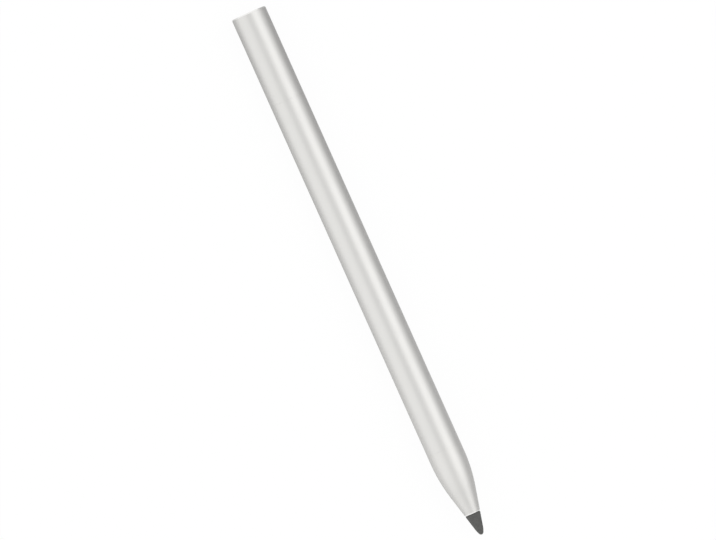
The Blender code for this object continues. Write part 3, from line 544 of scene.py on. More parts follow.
SATIN_SILVER = Finish(
    "satin_silver", "silver_metal", (0.605, 0.600, 0.585), 0.42, 1.0,
    grain_size=0.06 * MM, grain_depth=0.004 * MM, drift_size=5.0 * MM, tone_drift=0.012, gloss_drift=0.02,
)
PAINTED_SILVER = Finish(
    "painted_silver", "silver_paint", (0.612, 0.606, 0.590), 0.43, 1.0,
    grain_size=0.05 * MM, grain_depth=0.003 * MM, drift_size=4.0 * MM, tone_drift=0.012, gloss_drift=0.02,
)
BRIGHT_EDGE = Finish(
    "bright_edge", "silver_metal", (0.880, 0.874, 0.858), 0.20, 1.0,
    grain_size=0.03 * MM, grain_depth=0.0004 * MM, grain_tone=0.02, gloss_drift=0.03,
)
SPUN_SILVER = SpunFinish(
    "spun_silver", "silver_metal", (0.605, 0.600, 0.585), 0.32, 1.0, grain_tone=0.08, tone_drift=0.01,
)
NIB_GREY = Finish(
    "nib_grey_grain", "nib_grey", (0.078, 0.078, 0.074), 0.62, grain_size=0.16 * MM, grain_depth=0.012 * MM,
    grain_tone=0.40, drift_size=0.5 * MM, tone_drift=0.45, gloss_drift=0.06,
)
COPPER = Finish("plated_copper", "copper", (0.80, 0.42, 0.26), 0.30, 1.0, tone_drift=0.08)
WHITE_PLASTIC = Finish("moulded_white", "white_plastic", (0.78, 0.77, 0.74), 0.45)
BRASS = SpunFinish("turned_brass", "brass", (0.78, 0.60, 0.28), 0.28, 1.0)
GOLD = Finish("plated_contact", "brass", (0.86, 0.66, 0.30), 0.24, 1.0, gloss_drift=0.06)
STEEL = Finish("drawn_steel", "steel", (0.56, 0.56, 0.57), 0.28, 1.0, drift_size=1.0 * MM)
SILICONE = Finish(
    "soft_silicone", "silicone", (0.16, 0.16, 0.17), 0.70, grain_depth=0.004 * MM, grain_tone=0.08,
)
BLACK_PLASTIC = Finish(
    "moulded_black", "black_plastic", (0.020, 0.020, 0.022), 0.48,
    grain_size=0.09 * MM, grain_depth=0.006 * MM, grain_tone=0.15, gloss_drift=0.07,
)
SOLDER_MASK = BoardFinish("solder_mask", "circuit_green", (0.020, 0.120, 0.050), 0.36)
BARE_BOARD = Finish(
    "bare_board", "circuit_green", (0.330, 0.310, 0.150), 0.62, grain_depth=0.004 * MM, grain_tone=0.10,
)
CHIP_BLACK = Finish(
    "chip_package", "chip_black", (0.014, 0.014, 0.015), 0.42, grain_depth=0.003 * MM, grain_tone=0.2,
)
CERAMIC = Finish("fired_ceramic", "ceramic", (0.62, 0.60, 0.55), 0.42, grain_tone=0.06, tone_drift=0.05)
CLEAR_PLASTIC = ClearFinish("milky_clear", "clear_plastic", (0.85, 0.86, 0.86), 0.22)
CELL_WRAP = Finish(
    "shrink_wrap", "cell_wrap", (0.035, 0.090, 0.220), 0.34, drift_size=1.5 * MM, grain_tone=0.06,
)
FLEX_AMBER = FlexFinish("amber_film", "flex_amber", (0.360, 0.150, 0.025), 0.34)
LEAD_RED = Finish("red_jacket", "lead_red", (0.450, 0.020, 0.015), 0.42, tone_drift=0.08)
LEAD_BLACK = Finish("black_jacket", "lead_black", (0.015, 0.015, 0.015), 0.42, grain_tone=0.15)


def arc(centre: Span, radius: float, start: float, end: float, steps: int) -> list[Corner]:
    """Gives points of an arc in a profile as corners with no fillet, by angles from the radius axis."""
    turns = [start + (end - start) * i / steps for i in range(steps + 1)]
    return [(centre[0] + radius * math.cos(t), centre[1] + radius * math.sin(t), 0.0) for t in turns]


def bar(radius: float, low: float, high: float) -> list[Corner]:
    """Gives the profile of a round bar between two places along its axis."""
    return [(0.0, high), (radius, high), (radius, low), (0.0, low)]


def tube(outer: float, inner: float, low: float, high: float) -> list[Corner]:
    """Gives the profile of a round tube between two places along its axis."""
    return [(outer, high), (outer, low), (inner, low), (inner, high)]


def fillet(before: Vector, corner: Vector, after: Vector, radius: float) -> list[Vector]:
    """Rounds one corner of a profile.

    Args:
        before: The corner before it.
        corner: The corner.
        after: The corner after it.
        radius: Radius of the fillet, which its two sides may limit.

    Returns:
        Points of the arc, with one more on each side that keeps the shading of the long runs flat.
    """
    back, ahead = before - corner, after - corner
    half = back.angle(ahead) / 2
    reach = min(radius / math.tan(half), FILLET_ROOM * back.length, FILLET_ROOM * ahead.length)
    used = reach * math.tan(half)
    way = (back.normalized() + ahead.normalized()).normalized()
    centre = corner + way * (used / math.sin(half))
    ends = [corner + side.normalized() * reach - centre for side in (back, ahead)]
    first, last = (math.atan2(end.y, end.x) for end in ends)
    turn = (last - first + math.pi) % math.tau - math.pi
    steps = max(2, math.ceil(abs(turn) / FILLET_STEP))
    angles = [first + turn * i / steps for i in range(steps + 1)]
    points = [centre + used * Vector((math.cos(t), math.sin(t))) for t in angles]
    rests = [corner + side.normalized() * min(2 * reach, side.length / 2) for side in (back, ahead)]
    return [rests[0], *points, rests[1]]


def rounded(corners: Sequence[Corner], edge: float) -> list[Span]:
    """Turns corners into the points of a smooth profile.

    Args:
        corners: Radius and distance along the axis of each corner, and its fillet where it has its own.
        edge: Fillet of the other corners. A corner on the axis has none.

    Returns:
        Radius and distance of each point. A profile that doesn't start on the axis ends with its first point.
    """
    places = [Vector(corner[:2]) for corner in corners]
    points: list[Vector] = []
    for i, (place, corner) in enumerate(zip(places, corners)):
        radius = corner[2] if len(corner) > 2 else edge
        if radius > 0 and place.x > 0:
            points += fillet(places[i - 1], place, places[(i + 1) % len(places)], radius)
        else:
            points.append(place)
    if places[0].x > 0:
        points.append(points[0])
    return [(point.x, point.y) for point in points]


@dataclass(frozen=True)
class Ring:
    """A rounded outline across the key direction, by half its length along the pen and half its width.

    It lies out over the pen's axis or, if it is crowned, on a round surface of that radius about the axis.
    """

    long: float
    wide: float
    corner: float
    out: float
    crowned: bool = False

    def points(self, middle: float) -> list[Vector]:
        """Gives the points of the outline.

        Args:
            middle: Place of its middle along the pen.

        Returns:
            The points in order.
        """
        found = []
        for quarter, (side_long, side_wide) in enumerate(((1, 1), (-1, 1), (-1, -1), (1, -1))):
            for i in range(CORNER_STEPS + 1):
                turn = QUARTER * (quarter + i / CORNER_STEPS)
                along = side_long * (self.long - self.corner) + self.corner * math.cos(turn)
                across = side_wide * (self.wide - self.corner) + self.corner * math.sin(turn)
                out = PEN.flush(self.out, across) if self.crowned else self.out
                found.append(Vector((out, across, middle + along)))
        return found


def prism(long: float, wide: float, corner: float, *outs: float) -> list[Ring]:
    """Gives one outline at several heights."""
    return [Ring(long, wide, corner, out) for out in outs]


def peg(radius: float, *outs: float) -> list[Ring]:
    """Gives a round outline at several heights."""
    return prism(radius, radius, radius, *outs)


def eased(edge: float) -> list[Span]:
    """Gives the inset and the drop at each step of a rounded edge, from its side to its top."""
    turns = [QUARTER * i / EDGE_STEPS for i in range(EDGE_STEPS + 1)]
    return [(edge * (1 - math.cos(turn)), edge * (1 - math.sin(turn))) for turn in turns]


def halves(low: Vector, high: Vector) -> Span:
    """Gives half the length along the pen and half the width between two corners."""
    return (high.z - low.z) / 2, (high.y - low.y) / 2


def soft_box(low: Vector, high: Vector, edge: float, corner: float) -> list[Ring]:
    """Gives the outlines of a block with its upper edges rounded.

    Args:
        low: Lowest corner in the key frame.
        high: Highest corner in the key frame.
        edge: Radius of its upper edges.
        corner: Radius of its upright corners.

    Returns:
        The outlines from its foot to its top.
    """
    long, wide = halves(low, high)
    upper = [Ring(long - inset, wide - inset, corner, high.x - drop) for inset, drop in eased(edge)]
    return [Ring(long, wide, corner, low.x), *upper]


def standing(along: float, axis: str, turn: float = QUARTER) -> Matrix:
    """Gives the stand of a piece that is turned about an axis at a place along the pen."""
    return Matrix.Translation((0.0, 0.0, along)) @ Matrix.Rotation(turn, 4, axis)


class GeometryTree(NodeKit):
    """A geometry node tree with named inputs."""

    def __init__(self, name: str, **inputs: str) -> None:
        """Starts a tree.

        Args:
            name: Name of the tree.
            inputs: Kind of socket of each named input.
        """
        super().__init__(bpy.data.node_groups.new(name, "GeometryNodeTree"))
        face = self.tree.interface
        for label, kind in {"Geometry": "Geometry", "Material": "Material", **inputs}.items():
            face.new_socket(label, in_out="INPUT", socket_type=f"NodeSocket{kind}")
        face.new_socket("Geometry", in_out="OUTPUT", socket_type="NodeSocketGeometry")
        self.inputs = self.add("NodeGroupInput").outputs

    def close(self, geometry: Socket) -> Self:
        """Ends the tree with its geometry realised and dressed.

        Args:
            geometry: What the tree has made.

        Returns:
            The tree.
        """
        whole = self.add("GeometryNodeRealizeInstances", {"Geometry": geometry}).outputs["Geometry"]
        feeds = {"Geometry": whole, "Material": self.inputs["Material"]}
        dressed = self.add("GeometryNodeSetMaterial", feeds).outputs["Geometry"]
        self.add("NodeGroupOutput", {"Geometry": dressed})
        return self

    def run(self, piece: "Piece", **values: Any) -> None:
        """Runs the tree on a piece and keeps the result as its mesh.

        Args:
            piece: The piece, whose mesh goes in.
            values: Value of each named input.
        """
        step = piece.object.modifiers.new(self.tree.name, "NODES")
        step.node_group = self.tree
        values["Material"] = piece.finish.material()
        for item in self.tree.interface.items_tree:
            if item.in_out == "INPUT" and item.name in values:
                step[item.identifier] = values[item.name]
        piece.bake()


@cache
def lathe_tree() -> GeometryTree:
    """Makes the tree that turns a profile about Z.

    Returns:
        The tree. Its geometry is the profile's points in order, with the radius in X.
    """
    tree = GeometryTree("lathe", Points="Int", Steps="Int", Merge="Float")
    columns = tree.math("ADD", tree.inputs["Steps"], 1.0)
    grid = tree.add("GeometryNodeMeshGrid", {"Vertices X": tree.inputs["Points"], "Vertices Y": columns})
    index = tree.add("GeometryNodeInputIndex").outputs["Index"]
    row = tree.math("FLOOR", tree.math("DIVIDE", tree.math("ADD", index, 0.5), columns))
    column = tree.math("SUBTRACT", index, tree.math("MULTIPLY", row, columns))
    angle = tree.math("DIVIDE", tree.math("MULTIPLY", column, math.tau), tree.inputs["Steps"])
    place = tree.add("GeometryNodeInputPosition").outputs["Position"]
    feeds = {"Geometry": tree.inputs["Geometry"], "Value": place, "Index": row}
    sample = tree.add("GeometryNodeSampleIndex", feeds, data_type="FLOAT_VECTOR", domain="POINT")
    feeds = {"Vector": sample.outputs["Value"], "Angle": angle}
    spin = tree.add("ShaderNodeVectorRotate", feeds, rotation_type="Z_AXIS")
    feeds = {"Geometry": grid.outputs["Mesh"], "Position": spin.outputs["Vector"]}
    moved = tree.add("GeometryNodeSetPosition", feeds)
    feeds = {"Geometry": moved.outputs["Geometry"], "Distance": tree.inputs["Merge"]}
    return tree.close(tree.add("GeometryNodeMergeByDistance", feeds).outputs["Geometry"])


@cache
def coil_tree() -> GeometryTree:
    """Makes the tree that winds a spring about Z, with its end turns closed flat.

    Returns:
        The tree.
    """
    sizes = dict.fromkeys(("Radius", "Wire", "Turns", "Rise", "Flat"), "Float")
    tree = GeometryTree("coil", **sizes, Points="Int", Sides="Int")
    line = tree.add("GeometryNodeCurvePrimitiveLine").outputs["Curve"]
    many = tree.add("GeometryNodeResampleCurve", {"Curve": line, "Count": tree.inputs["Points"]})
    share = tree.add("GeometryNodeSplineParameter").outputs["Factor"]
    angle = tree.math("MULTIPLY", tree.math("MULTIPLY", share, tree.inputs["Turns"]), math.tau)
    flat = tree.math("DIVIDE", tree.inputs["Flat"], tree.inputs["Turns"])
    feeds = {"Value": share, "From Min": flat, "From Max": tree.math("SUBTRACT", 1.0, flat)}
    feeds.update({"To Min": 0.0, "To Max": tree.inputs["Rise"]})
    spot = {"Z": tree.add("ShaderNodeMapRange", feeds).outputs["Result"]}
    for label, operation in (("X", "COSINE"), ("Y", "SINE")):
        spot[label] = tree.math("MULTIPLY", tree.math(operation, angle), tree.inputs["Radius"])
    place = tree.add("ShaderNodeCombineXYZ", spot).outputs["Vector"]
    wound = tree.add("GeometryNodeSetPosition", {"Geometry": many.outputs["Curve"], "Position": place})
    feeds = {"Resolution": tree.inputs["Sides"], "Radius": tree.inputs["Wire"]}
    section = tree.add("GeometryNodeCurvePrimitiveCircle", feeds)
    feeds = {"Curve": wound.outputs["Geometry"], "Profile Curve": section.outputs["Curve"], "Fill Caps": True}
    return tree.close(tree.add("GeometryNodeCurveToMesh", feeds).outputs["Mesh"])


@cache
def copies_tree() -> GeometryTree:
    """Makes the tree that sets a copy of a shape on each point of its geometry.

    Returns:
        The tree.
    """
    tree = GeometryTree("copies", Shape="Object")
    shape = tree.add("GeometryNodeObjectInfo", {"Object": tree.inputs["Shape"]}).outputs["Geometry"]
    feeds = {"Points": tree.inputs["Geometry"], "Instance": shape}
    return tree.close(tree.add("GeometryNodeInstanceOnPoints", feeds).outputs["Instances"])


def add_object(name: str, data: bpy.types.ID) -> bpy.types.Object:
    """Adds an object to the scene.

    Args:
        name: Its name.
        data: Its mesh, lamp or camera.

    Returns:
        The object.
    """
    added = bpy.data.objects.new(name, data)
    bpy.context.scene.collection.objects.link(added)
    return added


class Piece:
    """A piece in the making, with its object and its main finish."""

    def __init__(self, name: str, finish: Finish) -> None:
        """Starts a piece with an empty mesh."""
        self.finish = finish
        self.object = add_object(name, bpy.data.meshes.new(name))

    @property
    def mesh(self) -> bpy.types.Mesh:
        """Gives the piece's mesh."""
        return self.object.data

    @classmethod
    def turned(
        cls,
        name: str,
        corners: Sequence[Corner],
        finish: Finish,
        edge: float = 0.0,
        steps: int = ROUND_STEPS,
        lie: Lie = Lie.KEYS,
        stand: Matrix | None = None,
    ) -> Self:
        """Turns a profile about an axis.

        Args:
            name: Name of the piece.
            corners: Radius and distance along the axis of each corner, and its fillet where it has its own.
            finish: The piece's finish.
            edge: Fillet of the other corners.
            steps: Number of faces round the piece.
            lie: The frame that it is drawn in.
            stand: Where its axis stands, if not on the pen's.

        Returns:
            The piece.
        """
        profile = rounded(corners, edge)
        piece = cls(name, finish)
        piece.mesh.from_pydata([(radius, 0.0, along) for radius, along in profile], [], [])
        lathe_tree().run(piece, Points=len(profile), Steps=steps, Merge=MERGE)
        return piece.place(lie, stand)

    @classmethod
    def stacked(
        cls,
        name: str,
        rings: Sequence[Ring],
        middle: float,
        finish: Finish,
        hollow: bool = False,
        stand: Matrix | None = None,
    ) -> Self:
        """Joins outlines one after another.

        Args:
            name: Name of the piece.
            rings: The outlines in order.
            middle: Place of their middle along the pen.
            finish: The piece's finish.
            hollow: Whether the last outline joins the first. Otherwise both are capped.
            stand: Where the piece stands in the key frame, if not at its origin.

        Returns:
            The piece.
        """
        form = bmesh.new()
        rows = [[form.verts.new(point) for point in ring.points(middle)] for ring in rings]
        following = [*rows[1:], rows[0]] if hollow else rows[1:]
        for low, high in zip(rows, following):
            for i, start in enumerate(low):
                j = (i + 1) % len(low)
                form.faces.new((start, low[j], high[j], high[i]))
        if not hollow:
            form.faces.new(rows[0])
            form.faces.new(rows[-1])
        piece = cls(name, finish)
        form.to_mesh(piece.mesh)
        form.free()
        piece.mesh.materials.append(finish.material())
        return piece.place(Lie.KEYS, stand)

    @classmethod
    def repeated(cls, name: str, shape: Self, points: Sequence[Vector]) -> Self:
        """Sets copies of a shape at points of the key frame.

        Args:
            name: Name of the piece.
            shape: The shape, drawn about the key frame's origin, which is used up.
            points: Where the copies go.

        Returns:
            The piece.
        """
        shape.mesh.transform(PEN.matrix(Lie.KEYS).inverted())
        piece = cls(name, shape.finish)
        piece.mesh.from_pydata([tuple(point) for point in points], [], [])
        copies_tree().run(piece, Shape=shape.object)
        bpy.data.objects.remove(shape.object)
        return piece.place(Lie.KEYS)

    def bake(self) -> None:
        """Turns the piece's modifiers into plain faces, without empty material slots."""
        bpy.context.view_layer.update()
        graph = bpy.context.evaluated_depsgraph_get()
        mesh = bpy.data.meshes.new_from_object(self.object.evaluated_get(graph))
        mesh.name = self.object.name
        for slot in reversed(range(len(mesh.materials))):
            if mesh.materials[slot] is None:
                mesh.materials.pop(index=slot)
        self.object.modifiers.clear()
        self.object.data = mesh

    def clean(self) -> Self:
        """Merges doubles, points faces outwards and shades the piece smooth but for its real edges.

        Returns:
            The piece.
        """
        form = bmesh.new()
        form.from_mesh(self.mesh)
        bmesh.ops.remove_doubles(form, verts=form.verts, dist=MERGE)
        bmesh.ops.recalc_face_normals(form, faces=form.faces)
        form.to_mesh(self.mesh)
        form.free()
        self.mesh.shade_smooth()
        self.mesh.set_sharp_from_angle(angle=SHARP_ANGLE)
        return self

    def place(self, lie: Lie, stand: Matrix | None = None) -> Self:
        """Moves the mesh from a stand in the frame it was drawn in to its place in the world."""
        self.mesh.transform(PEN.matrix(lie) @ (stand or Matrix.Identity(4)))
        return self.clean()

    def carve(self, *cutters: Self) -> Self:
        """Cuts the piece.

        Args:
            cutters: What is cut from it, which is used up and leaves its finish on the cut faces.

        Returns:
            The piece.
        """
        for cutter in cutters:
            cut = self.object.modifiers.new(cutter.object.name, "BOOLEAN")
            cut.operation = "DIFFERENCE"
            cut.solver = "EXACT"
            cut.material_mode = "TRANSFER"
            cut.object = cutter.object
        self.bake()
        for cutter in cutters:
            bpy.data.objects.remove(cutter.object)
        return self.clean()

    def dress(self, finish: Finish, chosen: Callable[[bpy.types.MeshPolygon], bool]) -> Self:
        """Gives another finish to some of the faces.

        Args:
            finish: The finish.
            chosen: Tells whether a face gets it.

        Returns:
            The piece.
        """
        self.mesh.materials.append(finish.material())
        last = len(self.mesh.materials) - 1
        for face in filter(chosen, self.mesh.polygons):
            face.material_index = last
        return self

    def polish(self, finish: Finish, start: float, end: float) -> Self:
        """Gives another finish to the faces between two places along the pen, from the nib's point."""
        return self.dress(finish, lambda face: start < PEN.nib_x - face.center.x < end)

    def trim(self, finish: Finish, facing: Vector) -> Self:
        """Gives another finish to the sides of a plate whose broad faces look along a direction."""
        return self.dress(finish, lambda face: abs(face.normal.dot(facing)) < SIDE_LEAN)

    def settle(self, *nodes: str, body: Body = Body.BARREL) -> None:
        """Hands the finished piece to the frame.

        Args:
            nodes: The solids that it stands for.
            body: The body that it rides on.
        """
        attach(self.object, body.value)
        if nodes:
            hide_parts(*nodes)
        LOG.info("%s on %s for %s: %d faces", self.object.name, body.value, nodes, len(self.mesh.polygons))


def keep_solid(node: str, finish: Finish) -> None:
    """Dresses a solid of the frame that stays as it is.

    Args:
        node: Name of the solid.
        finish: Its finish.
    """
    solid = frame["nodes"][node]
    solid.data.materials.clear()
    solid.data.materials.append(finish.material())
    LOG.info("%s stays, in %s", node, finish.name)


def build_disc(node: str, radius: float, finish: Finish, edge: float = BOARD_EDGE) -> None:
    """Builds a round plate in the room of its solid, with bare sides if it is a board.

    Args:
        node: The solid that it stands for.
        radius: Its radius.
        finish: Its finish.
        edge: Radius of its edges.
    """
    plate = Piece.turned(f"{node}_form", bar(radius, *PEN.span(node)), finish, edge, SMALL_STEPS)
    if finish is SOLDER_MASK:
        plate.trim(BARE_BOARD, Vector((1.0, 0.0, 0.0)))
    plate.settle(node)


def board_form(node: str, corner: float) -> Piece:
    """Builds a flat board with bare sides in the room of its solid.

    Args:
        node: The solid that it stands for.
        corner: Radius of its corners.

    Returns:
        The board, not settled yet.
    """
    low, high = PEN.extent(node)
    rings = prism(*halves(low, high), corner, low.x, high.x)
    out = PEN.matrix(Lie.KEYS).to_3x3() @ Vector((1.0, 0.0, 0.0))
    return Piece.stacked(f"{node}_form", rings, PEN.middle(node), SOLDER_MASK).trim(BARE_BOARD, out)


@dataclass(frozen=True)
class Spring:
    """A coil spring that fills the room of its solid, with the part flat of a turn level at each end."""

    node: str
    radius: float
    wire: float
    turns: float
    flat: float
    turn_steps: int = 48
    wire_sides: int = 16

    def build(self, body: Body, press: str, fixed: float) -> None:
        """Winds the spring.

        Args:
            body: The body that it rides on.
            press: Name of the joint. Not used.
            fixed: Place of the fixed end along the pen. Not used.
        """
        start, end = PEN.span(self.node)
        piece = Piece(f"{self.node}_form", STEEL)
        sizes = {"Radius": self.radius, "Wire": self.wire / 2, "Turns": self.turns, "Flat": self.flat}
        counts = {"Points": round(self.turns * self.turn_steps), "Sides": self.wire_sides}
        coil_tree().run(piece, **sizes, **counts, Rise=end - start - self.wire)
        piece.place(Lie.PEN, Matrix.Translation((0.0, 0.0, start + self.wire / 2)))
        piece.settle(self.node, body=body)
        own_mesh(piece.object)


@dataclass(frozen=True)
class ClickSwitch:
    """A click switch: a low can with a dome on it."""

    can_height: float = 0.55 * MM
    can_edge: float = 0.06 * MM
    can_corner: float = 0.3 * MM
    dome_radius: float = 0.6 * MM

    def build(self, node: str, low: Vector, high: Vector, stand: Matrix | None = None) -> None:
        """Builds the switch.

        Args:
            node: The solid that it stands for.
            low: Lowest corner of its room, with its dome along X.
            high: Highest corner of its room.
            stand: Where that room stands in the key frame, if not at its origin.
        """
        shoulder = Vector((low.x + self.can_height, high.y, high.z))
        rings = soft_box(low, shoulder, self.can_edge, self.can_corner)
        for i in range(CORNER_STEPS):
            turn = QUARTER * i / CORNER_STEPS
            out = shoulder.x + (high.x - shoulder.x) * math.sin(turn)
            rings += peg(self.dome_radius * math.cos(turn), out)
        Piece.stacked(f"{node}_form", rings, (low.z + high.z) / 2, STEEL, stand=stand).settle(node)


class SubAssembly:
    """A group of pieces that are built, dressed and settled together."""

    def build(self) -> None:
        """Builds the pieces."""
        raise NotImplementedError


@dataclass
class NibEnd(SubAssembly):
    """The nib, the nose that it comes out of, and what guides and returns it."""

    # The nib is a cone whose side bulges from the lean at its point to the taper that the nose goes on with.
    nib_length: float = 5.6 * MM
    nib_radius: float = 2.0 * MM
    nib_edge: float = 0.04 * MM
    half_angle: float = math.radians(13.4)
    flank_steps: int = 10
    tip_radius: float = 0.62 * MM
    tip_lean: float = math.radians(27.7)
    tip_steps: int = 14
    stem_radius: float = 0.8 * MM
    stem_root: float = 0.1 * MM
    stem_end: float = 0.25 * MM

    # Its collar dips into the nose and closes the gap there.
    collar_radius: float = 1.85 * MM
    collar_dip: float = 0.3 * MM
    collar_fit: float = 0.06 * MM

    # The nose blends into the barrel, has a polished chamfer in front, and sits in the barrel by its spigot.
    blend_radius: float = 40.0 * MM
    blend_steps: int = 24
    rim: float = 0.25 * MM
    rim_lean: float = math.radians(32)
    rim_edge: float = 0.02 * MM
    wall: float = 0.8 * MM
    front_wall: float = 3.0 * MM
    front_bore: float = 1.0 * MM
    bore_edge: float = 0.08 * MM
    cavity_radius: float = 3.2 * MM
    spigot_radius: float = 3.95 * MM
    spigot_end: float = 0.15 * MM
    spigot_root: float = 0.05 * MM

    electrode_wall: float = 0.25 * MM
    electrode_edge: float = 0.06 * MM
    bush_clearance: float = 0.06 * MM
    bush_edge: float = 0.12 * MM

    holder_radius: float = 1.3 * MM
    holder_edge: float = 0.08 * MM
    socket_radius: float = 0.85 * MM
    socket_mouth: float = 0.15 * MM
    flange_radius: float = 2.2 * MM
    flange_thickness: float = 0.8 * MM
    rod_radius: float = 0.9 * MM
    rod_end: float = 0.2 * MM

    spring_wire: float = 0.3 * MM
    spring_turns: float = 5.0
    spring_flat: float = 0.6

    def taper(self, along: float) -> float:
        """Gives the radius of the straight taper at a place along the pen."""
        return self.nib_radius + (along - self.nib_length) * math.tan(self.half_angle)

    def build(self) -> None:
        """Builds the nib, the nose and what is in it."""
        self.build_nib()
        self.build_nose()
        self.build_guide()
        self.build_holder()
        radius = (self.rod_radius + self.flange_radius) / 2
        spring = Spring("nib_spring", radius, self.spring_wire, self.spring_turns, self.spring_flat)
        spring.build(Body.BARREL, "nib_press", PEN.span("sensor_cup")[0])

    def build_nib(self) -> None:
        """Builds the rounded cone on its stem, with a side that bulges towards its point."""
        # The arc of the side leaves the point at the tip's lean and runs into the taper at the taper's.
        lean, turned, point = self.half_angle, self.tip_lean, self.tip_radius
        slope = math.tan(lean)
        short = self.taper(0.0) - point * math.cos(turned) + slope * point * (1 - math.sin(turned))
        bulge = short / (math.cos(lean) - math.cos(turned) - slope * (math.sin(turned) - math.sin(lean)))
        centre = ((point - bulge) * math.cos(turned), point - (point - bulge) * math.sin(turned))
        flank = arc(centre, bulge, -lean, -turned, self.flank_steps)
        tip = arc((0.0, point), point, -turned, -QUARTER, self.tip_steps)[1:-1]
        end = PEN.span("nib")[1]
        collar = PEN.span("nose_cone")[0] + self.collar_dip
        corners = [
            (0.0, end),
            (self.stem_radius, end, self.stem_end),
            (self.stem_radius, collar, self.stem_root),
            (self.collar_radius, collar),
            (self.collar_radius, self.nib_length),
            (self.nib_radius, self.nib_length),
            *flank,
            *tip,
            (0.0, 0.0),
        ]
        Piece.turned("nib_form", corners, NIB_GREY, self.nib_edge, lie=Lie.PEN).settle("nib", body=Body.NIB)

    def build_nose(self) -> None:
        """Builds the tapered nose with its spigot, and polishes its front edge."""
        start, end = PEN.span("nose_cone")
        seat = PEN.span("guide_bush")[0] - PEN.seat
        tangent = self.blend_radius * math.tan(self.half_angle / 2)
        blend_end = self.nib_length + (PEN.radius - self.nib_radius) / math.tan(self.half_angle) + tangent
        seam = PEN.span("barrel")[0] - PEN.hairline
        cavity = start + self.front_wall
        rim = start + self.rim
        front = self.taper(rim) - self.rim * math.tan(self.rim_lean)
        recess = self.collar_radius + self.collar_fit
        step = start + self.collar_dip + 2 * travel("nib_press")
        centre = (PEN.radius - self.blend_radius, blend_end)
        blend = arc(centre, self.blend_radius, 0.0, -self.half_angle, self.blend_steps)
        middle = (blend[-1][1] + start) / 2
        corners = [
            (self.spigot_radius, end, self.spigot_end),
            (self.spigot_radius, seam, self.spigot_root),
            (PEN.radius, seam, PEN.seam_edge),
            *blend,
            (self.taper(middle), middle),
            (self.taper(rim), rim, self.rim_edge),
            (front, start),
            (recess, start),
            (recess, step),
            (self.front_bore, step, self.bore_edge),
            (self.front_bore, cavity),
            (self.taper(cavity) - self.wall, cavity),
            (self.cavity_radius, seat),
            (self.cavity_radius, end, self.bore_edge),
        ]
        nose = Piece.turned("nose_form", corners, PAINTED_SILVER, lie=Lie.PEN)
        nose.polish(BRIGHT_EDGE, start - self.rim, rim).settle("nose_cone")

    def build_guide(self) -> None:
        """Builds the copper electrode and the bush in the nose."""
        low, high = PEN.span("tilt_electrode")
        outer = [self.taper(z) - self.wall - PEN.seat for z in (low, high)]
        inner = [radius - self.electrode_wall for radius in outer]
        corners = [(outer[1], high), (outer[0], low), (inner[0], low), (inner[1], high)]
        ring = Piece.turned("electrode_form", corners, COPPER, self.electrode_edge, SMALL_STEPS, Lie.PEN)
        ring.settle("tilt_electrode")
        bore = self.holder_radius + self.bush_clearance
        corners = tube(self.cavity_radius - PEN.seat, bore, *PEN.span("guide_bush"))
        bush = Piece.turned("bush_form", corners, WHITE_PLASTIC, self.bush_edge, SMALL_STEPS, Lie.PEN)
        bush.settle("guide_bush")

    def build_holder(self) -> None:
        """Builds the turned holder with its socket, flange and push rod."""
        start, end = PEN.span("nib_holder")
        flange = PEN.span("guide_bush")[1] + PEN.seat
        behind = flange + self.flange_thickness
        corners = [
            (0.0, end),
            (self.rod_radius, end, self.rod_end),
            (self.rod_radius, behind),
            (self.flange_radius, behind),
            (self.flange_radius, flange),
            (self.holder_radius, flange),
            (self.holder_radius, start, self.socket_mouth),
            (self.socket_radius, start, self.socket_mouth),
            (self.socket_radius, flange),
            (0.0, flange),
        ]
        holder = Piece.turned("holder_form", corners, BRASS, self.holder_edge, SMALL_STEPS, Lie.PEN)
        holder.settle("nib_holder", body=Body.CARRIER)


@dataclass
class ForceSensor(SubAssembly):
    """The cup behind the spring, with its soft pad, its sensor and the sensor's board."""

    cup_radius: float = 3.15 * MM
    cup_bore: float = 2.55 * MM
    cup_front: float = 0.8 * MM
    cup_edge: float = 0.1 * MM
    rod_hole: float = 0.96 * MM
    pad_radius: float = 1.5 * MM
    pad_edge: float = 0.2 * MM
    sensor_edge: float = 0.12 * MM

    def build(self) -> None:
        """Builds the cup and the stack in it."""
        start, end = PEN.span("sensor_cup")
        floor = start + self.cup_front
        corners = [
            (self.cup_radius, end),
            (self.cup_radius, start),
            (self.rod_hole, start),
            (self.rod_hole, floor),
            (self.cup_bore, floor),
            (self.cup_bore, end),
        ]
        cup = Piece.turned("sensor_cup_form", corners, BLACK_PLASTIC, self.cup_edge, SMALL_STEPS)
        cup.settle("sensor_cup")
        build_disc("sensor_pad", self.pad_radius, SILICONE, self.pad_edge)
        build_disc("force_sensor", self.cup_bore - PEN.seat, STEEL, self.sensor_edge)
        build_disc("sensor_board", self.cup_bore - PEN.seat, SOLDER_MASK)


